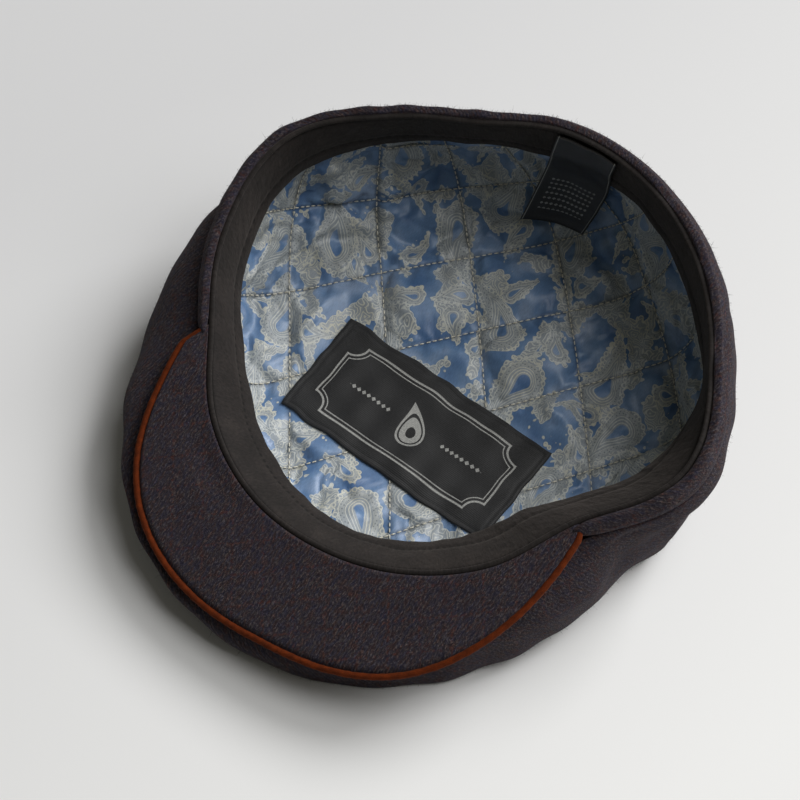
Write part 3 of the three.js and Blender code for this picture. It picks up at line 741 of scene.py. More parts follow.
# Profile of the roll and the groove: place across the ribbon from its outer edge, and height.
FRONT = [(0.0, 0.1), (0.1, 0.6), (0.35, 1.05), (0.8, 1.35), (1.2, 1.3), (1.6, 1.0), (1.9, 0.4), (2.05, -0.2),
         (RIBBON_GROOVE, -0.35), (2.55, -0.2), (2.8, 0.15), (RIBBON_FLAT, 0.3)]
flat_share = np.linspace(0, 1, 24)[1:-1]
wanted, heights = [], []
for w, h in FRONT:
    wanted.append(np.full((RIBBON_STATIONS, 1), w))
    heights.append(h)
wanted.append(RIBBON_FLAT + (width - RIBBON_FLAT - 0.5) * flat_share)
heights += [0.3] * len(flat_share)
wanted.append(width - 0.5)
heights.append(0.26)
for w, h in [(0.15, 0.12), (0.0, -0.15), (0.15, -0.5), (0.6, -0.8)]:
    wanted.append(width - w)
    heights.append(h)
for k in np.linspace(0.9, 0.06, 12):
    wanted.append(width * k)
    heights.append(-0.85)
wanted.append(np.full((RIBBON_STATIONS, 1), 0.0))
heights.append(-0.5)
wanted = np.concatenate(wanted, 1)
on_face = np.arange(len(heights)) < len(FRONT) + len(flat_share)
heights = np.array(heights) - 0.6 * np.exp(-((wanted - RIBBON_SEAM) / 1.0) ** 2) * on_face
across = wanted / width
ripple = waves(41, ring_az[:, None] * 1.7, across * 30, 44) * 0.45 * ease(0.15, 1.0, across)
ripple += waves(42, ring_az[:, None] * 1.7, across * 8, 13) * 0.07 * ease(0.1, 0.4, across)
normal_at = set_off(face, np.full(RIBBON_STEPS, -1.0)) - face
base_line = along_lines(face, face_run, wanted)
lift = along_lines(normal_at, face_run, wanted)
ribbon_section = base_line + lift * (heights + ripple)[..., None]
ribbon_points = spin(ribbon_section[..., 0], ribbon_section[..., 1], ring_az[:, None])
ribbon_faces = loft(ribbon_points, ring=True)
wrap = np.arange(RIBBON_STATIONS + 1)[:, None] * 2 * math.pi / RIBBON_STATIONS * RIBBON_COLUMN
run = np.concatenate([wanted, wanted[:, :1]], 1)
run = np.concatenate([run, run[:1]], 0)
ribbon_cloth = corners(np.stack(np.broadcast_arrays(wrap, run), -1))

# Grosgrain ribbon: matt cotton and rayon in a warm charcoal, with fine ribs across it, drawn 1.1 mm apart
# where real ones are 0.7 mm. It is dull and a little paler where it has rubbed, with painted shade in its
# groove.
ribbon_cloth_material, t = new_material("charcoal_grosgrain")
place = node(t, "Attribute", out=1, attribute_name="cloth")
xyz = node(t, "SeparateXYZ", {0: place}).node
rib_phase = node(t, "Math", {0: xyz.outputs[0], 1: 2 * math.pi / 1.1}, operation="MULTIPLY")
rib = node(t, "Math", {0: rib_phase}, operation="SINE")
worn = node(t, "TexNoise", {"Vector": place, "Scale": 0.07, "Detail": 4.0, "Roughness": 0.6})
nap_place = node(t, "VectorMath", {0: place, 1: (1.0, 0.5, 1.0)}, operation="MULTIPLY")
lint = node(t, "TexNoise", {"Vector": nap_place, "Scale": 1.1, "Detail": 4.0, "Roughness": 0.75})
ribbon_base = shades(t, worn, [(0.32, "#171413"), (0.5, "#1f1b1a"), (0.7, "#292422")])
# Painted shade: the groove beside the roll is coloured near black.
groove_shade_and_stitches = node(t, "Math", {0: xyz.outputs[1], 1: RIBBON_GROOVE, 2: 0.4}, operation="COMPARE")
# The seam's stitches lie every 3.6 mm.
dash_at = node(t, "Math", {0: xyz.outputs[0], 1: 3.6}, operation="MODULO")
dash_on = node(t, "Math", {0: dash_at, 1: 1.0, 2: 0.9}, operation="COMPARE")
at_seam = node(t, "Math", {0: xyz.outputs[1], 1: RIBBON_SEAM, 2: 0.75}, operation="COMPARE")
sewn = node(t, "Math", {0: dash_on, 1: at_seam}, operation="MULTIPLY")
groove_shade_and_stitches = node(t, "Math", {0: groove_shade_and_stitches, 1: sewn}, operation="MAXIMUM")
shade_and_stitch_share = node(t, "Math", {0: groove_shade_and_stitches, 1: 0.9}, operation="MULTIPLY")
ribbon_with_groove_shade = node(t, "Mix", {0: shade_and_stitch_share, 6: ribbon_base, 7: linear("#050505")}, out=2, data_type="RGBA")
rib_shade = node(t, "MapRange", {0: rib, 1: -1.0, 2: 1.0, 3: 0.98, 4: 1.02})
lint_shade = node(t, "MapRange", {0: lint, 1: 0.3, 2: 0.7, 3: 0.3, 4: 1.7})
both = node(t, "Math", {0: rib_shade, 1: lint_shade}, operation="MULTIPLY")
ribbon_colour = node(t, "VectorMath", {0: ribbon_with_groove_shade, 3: both}, operation="SCALE")
puckers = node(t, "VectorMath", {0: place, 1: (0.34, 0.22, 1.0)}, operation="MULTIPLY")
puckers = node(t, "TexNoise", {"Vector": puckers, "Scale": 1.0, "Detail": 1.0})
rib_height = node(t, "Math", {0: rib, 1: 0.03, 2: lint}, operation="MULTIPLY_ADD")
rib_height = node(t, "Math", {0: puckers, 1: 2.2, 2: rib_height}, operation="MULTIPLY_ADD")
ribbon_bump = node(t, "Bump", {"Height": rib_height, "Strength": 0.8, "Distance": 0.3 * MM})
ribbon_shader = node(t, "BsdfPrincipled", {
    "Base Color": ribbon_colour, "Roughness": 0.78, "Specular IOR Level": 0.25, "Normal": ribbon_bump,
    "Sheen Weight": 0.14, "Sheen Roughness": 0.6, "Sheen Tint": linear("#c8bdb4"),
})
node(t, "OutputMaterial", {"Surface": ribbon_shader})
sweatband = piece("sweatband_ribbon", ribbon_points, ribbon_faces, ribbon_cloth_material,
                  {"cloth": ribbon_cloth}, "sweatband")


# Lining.
# Blue satin jacquard with a paisley, quilted over thin wadding in squares of about 38 mm, set on a corner.
# It is sewn in behind the ribbon and lies loose in the crown, so its squares swell and it is creased.
QUILT_WALL = 3.0
FLOOR_OF_LINING = TWEED_WALL + GAP + QUILT_WALL
FLOOR_FRONT_Y = -45.5
FLOOR_TILT = math.radians(7)
QUILT_STEPS = 30
QUILT_FROM, QUILT_TO = -6, 7
LINING_STEPS = 60
# Dents of the lining's wall, as those of the crown.
LINING_FOLDS = [
    (138, 40, 6, 40, -4.0),
    (100, 35, 9, 30, -2.5),
    (60, 40, 9, 30, -3.0),
    (24, 30, 9, 26, -3.0),
    (165, 28, 7, 20, -2.0),
]


def floor_plane(x, y):
    """Height of the lining's face on the bottom, which rises gently to the back."""
    return FLOOR_OF_LINING + math.tan(FLOOR_TILT) * np.maximum(0, y - FLOOR_FRONT_Y)


def lining_lines(az):
    """The lining's face in section, from the middle of the bottom out and up behind the ribbon."""
    ribbon = ribbon_line(az, np.linspace(0, 1, 21))
    tail = set_off(ribbon, np.full(21, RIBBON_WALL + GAP + 0.5))[:, 12:]
    end = tail[:, -1]
    foot = column("lining_foot", az)
    bulge = column("bulge", az)
    at = spin(foot, 0.0, az)
    low = floor_plane(at[..., 0], at[..., 1])
    drop = end[:, 1] - low
    shares = np.linspace(0, 1, LINING_STEPS)
    wall = bezier([(end[:, 0], end[:, 1]), (end[:, 0] + bulge * 0.7, end[:, 1] - drop * 0.4),
                   (foot + (end[:, 0] - foot) * 0.75 + bulge, low), (foot, low)], shares)
    steps = np.arange(LINING_STEPS)
    hold = np.minimum(1, steps / 12) * np.minimum(1, steps[::-1] / 6)
    wall[..., 0] += folds(LINING_FOLDS, az[:, None], wall[..., 1]) * hold
    shell = set_off(crown_line(az), np.full(CROWN_UPPER + CROWN_LOWER - 1, -TWEED_WALL - QUILT_WALL - 1.2))
    for i in range(len(az)):
        line = shell[i, 6:]
        most = np.interp(wall[i, :, 1], line[::-1, 1], line[::-1, 0])
        wall[i, :, 0] = np.where(hold > 0.99, np.minimum(wall[i, :, 0], most), wall[i, :, 0])
    r = foot[:, None] * np.linspace(1, 0, LINING_STEPS)[1:]
    at = spin(r, 0.0, az[:, None])
    level = np.stack([r, floor_plane(at[..., 0], at[..., 1])], -1)
    return np.concatenate([tail, wall[:, 1:], level], 1)[:, ::-1]


TABLE_STATIONS = 720
TABLE_STEPS = 260
table_az = np.arange(TABLE_STATIONS) * 360 / TABLE_STATIONS
table_lines = lining_lines(table_az)
table_run = arc(table_lines)
table_most = table_run[:, -1]
table_rho = np.linspace(0, table_most.max(), TABLE_STEPS)
table_rz = along_lines(table_lines, table_run, np.broadcast_to(table_rho, (TABLE_STATIONS, TABLE_STEPS)))
for _ in range(14):
    table_rz = (np.roll(table_rz, 1, 0) + 2 * table_rz + np.roll(table_rz, -1, 0)) / 4


def lining_at(u, v):
    """Points of the lining at flat cloth places u, v, and how far past the lining's edge each place is."""
    az = np.degrees(np.arctan2(v, u)) % 360
    rho = np.hypot(u, v)
    f = az / 360 * TABLE_STATIONS
    i = np.floor(f).astype(int) % TABLE_STATIONS
    s = f - np.floor(f)
    j = (i + 1) % TABLE_STATIONS
    g = np.clip(rho / table_rho[-1] * (TABLE_STEPS - 1), 0, TABLE_STEPS - 1.001)
    k = np.floor(g).astype(int)
    q = (g - k)[..., None]
    s1 = s[..., None]
    rz = ((table_rz[i, k] * (1 - s1) + table_rz[j, k] * s1) * (1 - q)
          + (table_rz[i, k + 1] * (1 - s1) + table_rz[j, k + 1] * s1) * q)
    most = table_most[i] * (1 - s) + table_most[j] * s
    return spin(rz[..., 0], rz[..., 1], az), rho - most


def quilt(a, b):
    """Flat cloth place of a point of the quilting: its stitch lines run where a or b is whole."""
    u = -32.47 + 27.49 * a - 21.63 * b + 0.25 * a * b - 0.18 * a * a + 0.34 * b * b
    v = 12.34 + 28.63 * a + 30.34 * b - 2.54 * a * b - 0.74 * a * a - 1.36 * b * b
    return u, v


steps = np.arange(QUILT_FROM * QUILT_STEPS, QUILT_TO * QUILT_STEPS + 1) / QUILT_STEPS
grid_a, grid_b = np.meshgrid(steps, steps, indexing="ij")
grid_u, grid_v = quilt(grid_a, grid_b)
grid_points, grid_over = lining_at(grid_u, grid_v)
inside = grid_over < 0
keep = inside[:-1, :-1] & inside[1:, :-1] & inside[1:, 1:] & inside[:-1, 1:]
I, J = np.nonzero(keep)
used = np.zeros(grid_a.shape, bool)
for di, dj in ((0, 0), (1, 0), (1, 1), (0, 1)):
    used[I + di, J + dj] = True
number = np.full(grid_a.shape, -1)
number[used] = np.arange(used.sum())
quilt_faces = np.stack([number[I, J], number[I + 1, J], number[I + 1, J + 1], number[I, J + 1]], 1)
rest = grid_points[used]
qa, qb = grid_a[used], grid_b[used]
qu, qv = grid_u[used], grid_v[used]
count = np.zeros(len(rest), int)
np.add.at(count, quilt_faces.ravel(), 1)
on_edge = count < 4
on_seam = (np.abs(qa - np.round(qa)) < 1e-6) | (np.abs(qb - np.round(qb)) < 1e-6)


def mesh_normals(points, faces):
    """Normals at the points of a mesh of four-sided faces."""
    a, b, c, d = (points[faces[:, k]] for k in range(4))
    face_normal = np.cross(c - a, d - b)
    total = np.zeros_like(points)
    for k in range(4):
        np.add.at(total, faces[:, k], face_normal)
    return total / np.linalg.norm(total, axis=1, keepdims=True)


rest_normal = mesh_normals(rest, quilt_faces)
if rest_normal[:, 2].mean() < 0:
    quilt_faces = quilt_faces[:, ::-1]
    rest_normal = -rest_normal

# The quilting is blown up as cloth that is held along its stitches and its edge.
SIM_SCALE = 0.01
SIM_FRAMES = 20
SIM_CLOTH = {
    "quality": 6, "mass": 0.3, "air_damping": 1,
    "tension_stiffness": 15, "compression_stiffness": 15, "shear_stiffness": 5, "bending_stiffness": 0.05,
    "tension_damping": 5, "compression_damping": 5, "shear_damping": 5, "bending_damping": 0.5,
    "vertex_group_mass": "held", "shrink_min": -0.09, "shrink_max": -0.09,
    "use_pressure": True, "uniform_pressure_force": 0.9,
}
MOST_SWELL = 5.5
sim_mesh = bpy.data.meshes.new("quilt_sim")
sim_mesh.from_pydata((rest * SIM_SCALE).tolist(), [], quilt_faces.tolist())
sim = bpy.data.objects.new("quilt_sim", sim_mesh)
scene.collection.objects.link(sim)
held = sim.vertex_groups.new(name="held")
held.add(np.nonzero(on_edge | on_seam)[0].tolist(), 1.0, "ADD")
cloth = sim.modifiers.new("cloth", "CLOTH")
for key, value in SIM_CLOTH.items():
    setattr(cloth.settings, key, value)
cloth.settings.effector_weights.gravity = 0
cloth.collision_settings.use_collision = False
cloth.point_cache.frame_start = 1
cloth.point_cache.frame_end = SIM_FRAMES
for number_of_frame in range(1, SIM_FRAMES + 1):
    scene.frame_set(number_of_frame)
blown = sim.evaluated_get(bpy.context.evaluated_depsgraph_get()).to_mesh()
swollen = np.empty(len(rest) * 3)
blown.vertices.foreach_get("co", swollen)
swollen = swollen.reshape(-1, 3) / SIM_SCALE
bpy.data.objects.remove(sim)
scene.frame_set(1)
moved = swollen - rest
far_moved = np.linalg.norm(moved, axis=1, keepdims=True)
moved *= np.minimum(1, MOST_SWELL / np.maximum(far_moved, 1e-6))
from_rim = -grid_over[used]
free = ease(9, 20, from_rim)
moved *= free[:, None]
# Under the size label the cloth is slacker, so the label hangs clear of it.
tab_turn = (np.degrees(np.arctan2(qv, qu)) - 86) / 14
under_tab = np.exp(-(tab_turn ** 2)) * (1 - ease(50, 66, from_rim))
moved *= (1 - 0.6 * under_tab)[:, None]
front = rest + moved

# Small puckers run off the stitches, and slack folds cross the squares.
SQUARE = 39
for at, along_seam, seed in ((qa, qb, 81), (qb, qa, 82)):
    off_seam = np.abs(at - np.round(at)) * SQUARE
    pucker = waves(seed, along_seam * SQUARE, np.round(at) * 997, 15, 12)
    pucker *= 0.62 * (1 - np.exp(-off_seam / 1.2)) * np.exp(-off_seam / 7)
    front += rest_normal * (pucker * free)[:, None]
slack = waves(83, qu + 0.5 * qv, qv * 0.6 - qu * 0.3, 34, 12)
slack *= np.minimum(1, np.minimum(np.abs(qa - np.round(qa)), np.abs(qb - np.round(qb))) * SQUARE / 6)
front += rest_normal * (slack * free)[:, None]

# Deep creases beside the stitches, as lines in quilting places, with how high the cloth stands beside them.
CREASE_WIDE, CREASE_FAR = 4, 40
CREASES = [
    ([(0.0, 3.1), (0.0, 2.0), (0.0, 1.3), (0.25, 1.0), (0.6, 1.0), (0.95, 1.0)], 4.2),
    ([(2.15, 0.05), (2.45, 0.0), (2.75, -0.02)], 3.4),
    ([(2.35, -0.1), (2.6, -0.6), (2.6, -1.2)], 3.2),
]
for points, high in CREASES:
    line = np.stack(quilt(*np.array(points, float).T), -1)
    fine = np.linspace(0, 1, 80)
    run = arc(line)
    line = at_length(line, run, fine * run[-1])
    away = np.hypot(qu[:, None] - line[:, 0], qv[:, None] - line[:, 1])
    at = away.argmin(1)
    near_line = away.min(1)
    fade = np.sin(np.pi * np.clip(fine[at], 0.04, 0.96)) ** 0.5
    way = np.gradient(line, axis=0)[at]
    beside = way[:, 0] * (qv - line[at, 1]) - way[:, 1] * (qu - line[at, 0])
    stand = high * fade * (near_line / CREASE_WIDE) * np.exp(1 - near_line / CREASE_WIDE)
    stand *= (near_line < CREASE_FAR) * np.where(beside > 0, 1, 0.12)
    front += rest_normal * (stand * free)[:, None]

# Under the label the quilting is pressed flat.
LABEL_LONG, LABEL_SHORT, LABEL_THICK = 102, 47, 1.0
LABEL_X, LABEL_Y = -2, 0.5
LABEL_TURN = math.radians(-5)


def beyond_label(points):
    """How far outside the label's edge points lie in plan: under 0 is inside."""
    c, s = math.cos(-LABEL_TURN), math.sin(-LABEL_TURN)
    lx = c * (points[:, 0] - LABEL_X) - s * (points[:, 1] - LABEL_Y)
    ly = s * (points[:, 0] - LABEL_X) + c * (points[:, 1] - LABEL_Y)
    return np.maximum(np.abs(lx) - LABEL_LONG / 2, np.abs(ly) - LABEL_SHORT / 2)


beyond = beyond_label(front)
ceiling = floor_plane(front[:, 0], front[:, 1]) + 0.1 + 3.2 * ease(0.5, 11, beyond)
front[:, 2] = np.where(beyond < 11, np.minimum(front[:, 2], ceiling), front[:, 2])

# The back of the lining follows it smoothly, and a strip joins the two round the edge.
edge_in = np.clip(from_rim / 5, 0, 1)
back_off = np.minimum(QUILT_WALL, 1.2 + (QUILT_WALL - 1.2) * edge_in)
behind = rest - rest_normal * back_off[:, None]
behind[:, 2] = np.maximum(behind[:, 2], TWEED_WALL + 0.3)
total = len(rest)
pairs = np.concatenate([np.stack([quilt_faces[:, k], quilt_faces[:, (k + 1) % 4]], 1) for k in range(4)])
forward = {(int(p), int(q)) for p, q in pairs}
rim_edges = [(p, q) for p, q in forward if (q, p) not in forward]
rim_edges.sort()
strip = np.array([(q, p, p + total, q + total) for p, q in rim_edges])
lining_faces = np.concatenate([quilt_faces, quilt_faces[:, ::-1] + total, strip])
quilt_place = np.stack([qa, qb], -1)
cloth_place = np.stack([qu, qv], -1)


def drop(tree, q, wide, long, bend):
    """A curved drop round a place: how far out it is (1 at the edge) and the turn about its middle."""
    place_xyz = node(tree, "SeparateXYZ", {0: q}).node
    ahead = node(tree, "Math", {0: place_xyz.outputs[1], 1: wide * 0.5}, operation="ADD")
    ahead = node(tree, "Math", {0: ahead, 1: 0.0}, operation="MAXIMUM")
    curve = node(tree, "Math", {0: ahead, 1: ahead}, operation="MULTIPLY")
    across = node(tree, "Math", {0: curve, 1: bend, 2: place_xyz.outputs[0]}, operation="MULTIPLY_ADD")
    far_out = node(tree, "VectorMath", {0: node(tree, "CombineXYZ", {0: across, 1: place_xyz.outputs[1]})},
                   out="Value", operation="LENGTH")
    turned_by = node(tree, "Math", {0: across, 1: place_xyz.outputs[1]}, operation="ARCTAN2")
    off_axis = node(tree, "Math", {0: turned_by}, operation="ABSOLUTE")
    slope = node(tree, "Math", {0: math.acos(wide / long), 1: off_axis}, operation="SUBTRACT")
    slope = node(tree, "Math", {0: slope, 1: 0.0}, operation="MAXIMUM")
    share_out = node(tree, "Math", {0: far_out, 1: wide}, operation="DIVIDE")
    rho = node(tree, "Math", {0: share_out, 1: node(tree, "Math", {0: slope}, operation="COSINE")},
               operation="MULTIPLY")
    return rho, turned_by


# Satin jacquard: viscose and silk-like threads, blue ground with a cream and straw paisley, woven in.
# The ground is smooth and glossy along its folds, the figured threads are paler and duller.
# A figure's lines are drawn 1.2 mm apart, where the real ones are 0.8 mm.
satin, t = new_material("paisley_satin")
place = node(t, "Attribute", out=1, attribute_name="cloth")
quilt_ab = node(t, "Attribute", out=1, attribute_name="quilt")
drift = node(t, "TexNoise", {"Vector": place, "Scale": 0.05, "Detail": 1.0}, out=1)
drift = node(t, "VectorMath", {0: drift, 1: (0.5, 0.5, 0.5)}, operation="SUBTRACT")
ground_place = node(t, "VectorMath", {0: drift, 1: (9.0, 9.0, 0.0), 2: place}, operation="MULTIPLY_ADD")
bead_cell = node(t, "TexVoronoi", {"Vector": place, "Scale": 1 / 2.7, "Randomness": 0.55}, out="Distance",
                 voronoi_dimensions="2D")
beads = node(t, "Math", {0: bead_cell, 1: 0.33, 2: 0.09}, operation="COMPARE")
scallop = node(t, "Math", {0: bead_cell, 1: -0.38}, operation="ADD")
dot_cell = node(t, "TexVoronoi", {"Vector": place, "Scale": 1 / 1.35, "Randomness": 0.35}, out="Distance",
                voronoi_dimensions="2D")
dots = node(t, "MapRange", {0: dot_cell, 1: 0.16, 2: 0.26, 3: 1.0, 4: 0.0})
# Each row: cell, half width, length of the tip, bend, lines across, half the spread of its directions
# and a shift.
FIGURES = [
    (41.0, 10.0, 30.0, 0.014, 9.0, 0.6, 3.1),
    (23.0, 4.8, 12.5, 0.045, 4.0, 3.1, 47.3),
]
motifs = []
for size, wide, long, bend, rings, spread, seed in FIGURES:
    moved_place = node(t, "VectorMath", {0: ground_place, 1: (seed, -seed * 2, 0.0)}, operation="ADD")
    cell = node(t, "TexVoronoi", {"Vector": moved_place, "Scale": 1 / size, "Randomness": 0.6},
                out="Position", voronoi_dimensions="2D").node
    q = node(t, "VectorMath", {0: moved_place, 1: cell.outputs["Position"]}, operation="SUBTRACT")
    chance = node(t, "SeparateColor", {0: cell.outputs["Color"]}).node
    angle = node(t, "MapRange", {0: chance.outputs[0], 1: 0.0, 2: 1.0, 3: -spread, 4: spread})
    upside = node(t, "Math", {0: chance.outputs[1], 1: 0.5}, operation="GREATER_THAN")
    angle = node(t, "Math", {0: upside, 1: math.pi, 2: angle}, operation="MULTIPLY_ADD")
    q = node(t, "VectorRotate", {"Vector": q, "Angle": angle}, rotation_type="Z_AXIS")
    q = node(t, "VectorMath", {0: q, 1: (0.0, (long - wide) * 0.4, 0.0)}, operation="ADD")
    rho, turned_by = drop(t, q, wide, long, bend)
    laced = node(t, "Math", {0: scallop, 1: 2.4 / wide, 2: rho}, operation="MULTIPLY_ADD")
    inside_mask = node(t, "MapRange", {0: laced, 1: 1.0, 2: 1.0 + 0.25 / wide, 3: 1.0, 4: 0.0})
    outline = node(t, "Math", {0: laced, 1: 1.0 - 0.3 / wide, 2: 0.32 / wide}, operation="COMPARE")
    wound_round = node(t, "Math", {0: turned_by, 1: 1.0 / (2 * math.pi * rings), 2: rho},
                       operation="MULTIPLY_ADD")
    wave = node(t, "Math", {0: wound_round, 1: 2 * math.pi * rings}, operation="MULTIPLY")
    wave = node(t, "Math", {0: wave}, operation="SINE")
    rows = node(t, "MapRange", {0: wave, 1: 0.2, 2: 0.8})
    dotted = node(t, "Math", {0: rho, 1: 0.68, 2: 0.085}, operation="COMPARE")
    beaded = node(t, "MapRange", {0: rho, 1: 0.80, 2: 0.81})
    pale = node(t, "Mix", {0: dotted, 2: rows, 3: 0.3}, out=0)
    pale = node(t, "Mix", {0: beaded, 2: pale, 3: beads}, out=0)
    pale = node(t, "Math", {0: pale, 1: outline}, operation="MAXIMUM")
    eye = node(t, "MapRange", {0: rho, 1: 0.24, 2: 0.27})
    pale = node(t, "Math", {0: pale, 1: eye}, operation="MULTIPLY")
    deep = node(t, "Math", {0: dotted, 1: dots}, operation="MULTIPLY")
    motifs.append((inside_mask, pale, eye, deep))

# Curls and beads fill cloudy patches between the figures.
warp = node(t, "TexNoise", {"Vector": place, "Scale": 0.16, "Detail": 1.0}, out=1)
warped = node(t, "VectorMath", {0: warp, 1: (9.0, 9.0, 0.0), 2: place}, operation="MULTIPLY_ADD")
curl_cell = node(t, "TexVoronoi", {"Vector": warped, "Scale": 1 / 5.2, "Randomness": 0.9}, out="Distance",
                 voronoi_dimensions="2D")
curl = node(t, "Math", {0: curl_cell, 1: 2 * math.pi * 5.2 / 1.15}, operation="MULTIPLY")
curl = node(t, "MapRange", {0: node(t, "Math", {0: curl}, operation="SINE"), 1: 0.2, 2: 0.8})
patch = node(t, "TexNoise", {"Vector": ground_place, "Scale": 0.062, "Detail": 1.5, "Roughness": 0.5})
patch = node(t, "Math", {0: scallop, 1: -0.085, 2: patch}, operation="MULTIPLY_ADD")
patch_mask = node(t, "MapRange", {0: patch, 1: 0.525, 2: 0.532})
patch_rim = node(t, "Math", {0: patch, 1: 0.536, 2: 0.008}, operation="COMPARE")
pale_all = node(t, "Math", {0: curl, 1: patch_mask}, operation="MULTIPLY")
pale_all = node(t, "Math", {0: pale_all, 1: patch_rim}, operation="MAXIMUM")
figured = patch_mask
deep_all = 0.0
for inside_mask, pale, eye, deep in reversed(motifs):
    pale_all = node(t, "Mix", {0: inside_mask, 2: pale_all, 3: pale}, out=0)
    figured = node(t, "Mix", {0: inside_mask, 2: figured, 3: eye}, out=0)
    deep_all = node(t, "Mix", {0: inside_mask, 2: deep_all, 3: deep}, out=0)
cover = node(t, "Math", {0: pale_all, 1: figured}, operation="MULTIPLY")

thread_place = node(t, "VectorMath", {0: place, 1: (3.5, 0.6, 1.0)}, operation="MULTIPLY")
thread = node(t, "TexNoise", {"Vector": thread_place, "Scale": 1.0, "Detail": 2.0})
tone = node(t, "TexNoise", {"Vector": place, "Scale": 0.05, "Detail": 2.0})
blue = shades(t, tone, [(0.36, "#4a6b96"), (0.5, "#6584aa"), (0.62, "#8ca1bf")])
cream = shades(t, tone, [(0.35, "#c6c4b2"), (0.55, "#cfd2ce"), (0.7, "#c4c4b8")])
figure_blue = node(t, "Mix", {0: 0.8, 6: blue, 7: linear("#9da1a0")}, out=2, data_type="RGBA")
ground_tone = node(t, "Mix", {0: figured, 6: blue, 7: figure_blue}, out=2, data_type="RGBA")
dotted_tone = node(t, "Mix", {0: deep_all, 6: ground_tone, 7: linear("#34475f")}, out=2, data_type="RGBA")
thread_share = node(t, "Math", {0: cover, 1: 0.85}, operation="MULTIPLY")
threads = node(t, "Mix", {0: thread_share, 6: dotted_tone, 7: cream}, out=2, data_type="RGBA")
ab = node(t, "SeparateXYZ", {0: quilt_ab}).node
to_seam = []
for axis in (0, 1):
    half_on = node(t, "Math", {0: ab.outputs[axis], 1: 0.5}, operation="ADD")
    in_square = node(t, "Math", {0: half_on, 1: 1.0, 2: 0.0}, operation="WRAP")
    off_seam = node(t, "Math", {0: in_square, 1: 0.5}, operation="SUBTRACT")
    to_seam.append(node(t, "Math", {0: off_seam}, operation="ABSOLUTE"))
seam = node(t, "Math", {0: to_seam[0], 1: to_seam[1]}, operation="MINIMUM")
# Painted shade: the colour darkens to 0.45 of itself along the stitch lines, in the valleys between the
# squares.
painted_seam_shade = node(t, "MapRange", {0: seam, 1: 0.0, 2: 0.04, 3: 0.45, 4: 1.0})
thread_shade = node(t, "MapRange", {0: thread, 1: 0.3, 2: 0.7, 3: 0.84, 4: 1.14})
satin_shade = node(t, "Math", {0: painted_seam_shade, 1: thread_shade}, operation="MULTIPLY")
satin_colour = node(t, "VectorMath", {0: threads, 3: satin_shade}, operation="SCALE")
satin_rough = node(t, "MapRange", {0: cover, 1: 0.0, 2: 1.0, 3: 0.46, 4: 0.56})
satin_height = node(t, "Math", {0: cover, 1: 0.6, 2: thread}, operation="MULTIPLY_ADD")
satin_bump = node(t, "Bump", {"Height": satin_height, "Strength": 0.35, "Distance": 0.15 * MM})
satin_shader = node(t, "BsdfPrincipled", {
    "Base Color": satin_colour, "Roughness": satin_rough, "Specular IOR Level": 0.75, "Normal": satin_bump,
    "Sheen Weight": 0.1, "Sheen Roughness": 0.3,
})
node(t, "OutputMaterial", {"Surface": satin_shader})
lining = piece("lining_quilt", np.concatenate([front, behind]), lining_faces, satin,
               {"cloth": np.concatenate([cloth_place, cloth_place]),
                "quilt": np.concatenate([quilt_place, quilt_place])}, "lining")

# Quilting stitches of cream thread. They are drawn 0.6 mm thick and 2 mm long, every 2.6 mm, so that they
# show, where the real thread is about 0.35 mm.
STITCH_EVERY = 2.6
STITCH_LONG = 2.0
STITCH_THICK = 0.6
front_normal = mesh_normals(front, quilt_faces)
field = np.full(grid_a.shape + (6,), np.nan)
field[used] = np.concatenate([front, front_normal], 1)


def quilted(a, b):
    """Point and normal of the quilted face at quilting places."""
    f, g = ((np.clip(at, QUILT_FROM, QUILT_TO - 0.001) - QUILT_FROM) * QUILT_STEPS for at in (a, b))
    i, j = np.floor(f).astype(int), np.floor(g).astype(int)
    s, q = (f - i)[..., None], (g - j)[..., None]
    return ((field[i, j] * (1 - s) + field[i + 1, j] * s) * (1 - q)
            + (field[i, j + 1] * (1 - s) + field[i + 1, j + 1] * s) * q)


def dashes(centres, ways, ups, long, thick, sides=6, rings=3):
    """Closed spindle-shaped stitches as one mesh: points and faces."""
    across = np.cross(ups, ways)
    place_along = np.cos(np.linspace(0, np.pi, rings + 2))[1:-1]
    fat = np.sqrt(1 - place_along ** 2)
    turn = np.arange(sides) * 2 * np.pi / sides
    points = [centres + ways * long / 2]
    for x, w in zip(place_along, fat):
        for angle in turn:
            outward = across * math.cos(angle) + ups * math.sin(angle)
            points.append(centres + ways * (x * long / 2) + outward * (w * thick / 2))
    points.append(centres - ways * long / 2)
    points = np.stack(points, 1)
    faces = []
    last = 1 + (rings - 1) * sides
    for k in range(sides):
        n = (k + 1) % sides
        faces.append([0, 1 + k, 1 + n, 0])
        for ring in range(1, last, sides):
            following = ring + sides
            faces.append([ring + k, following + k, following + n, ring + n])
        faces.append([last + k, points.shape[1] - 1, last + n, last + k])
    faces = np.array(faces)
    every = (np.arange(len(centres)) * points.shape[1])[:, None, None]
    merged = (faces[None] + every).reshape(-1, 4)
    listed = [list(dict.fromkeys(face)) for face in merged.tolist()]
    return points.reshape(-1, 3), listed


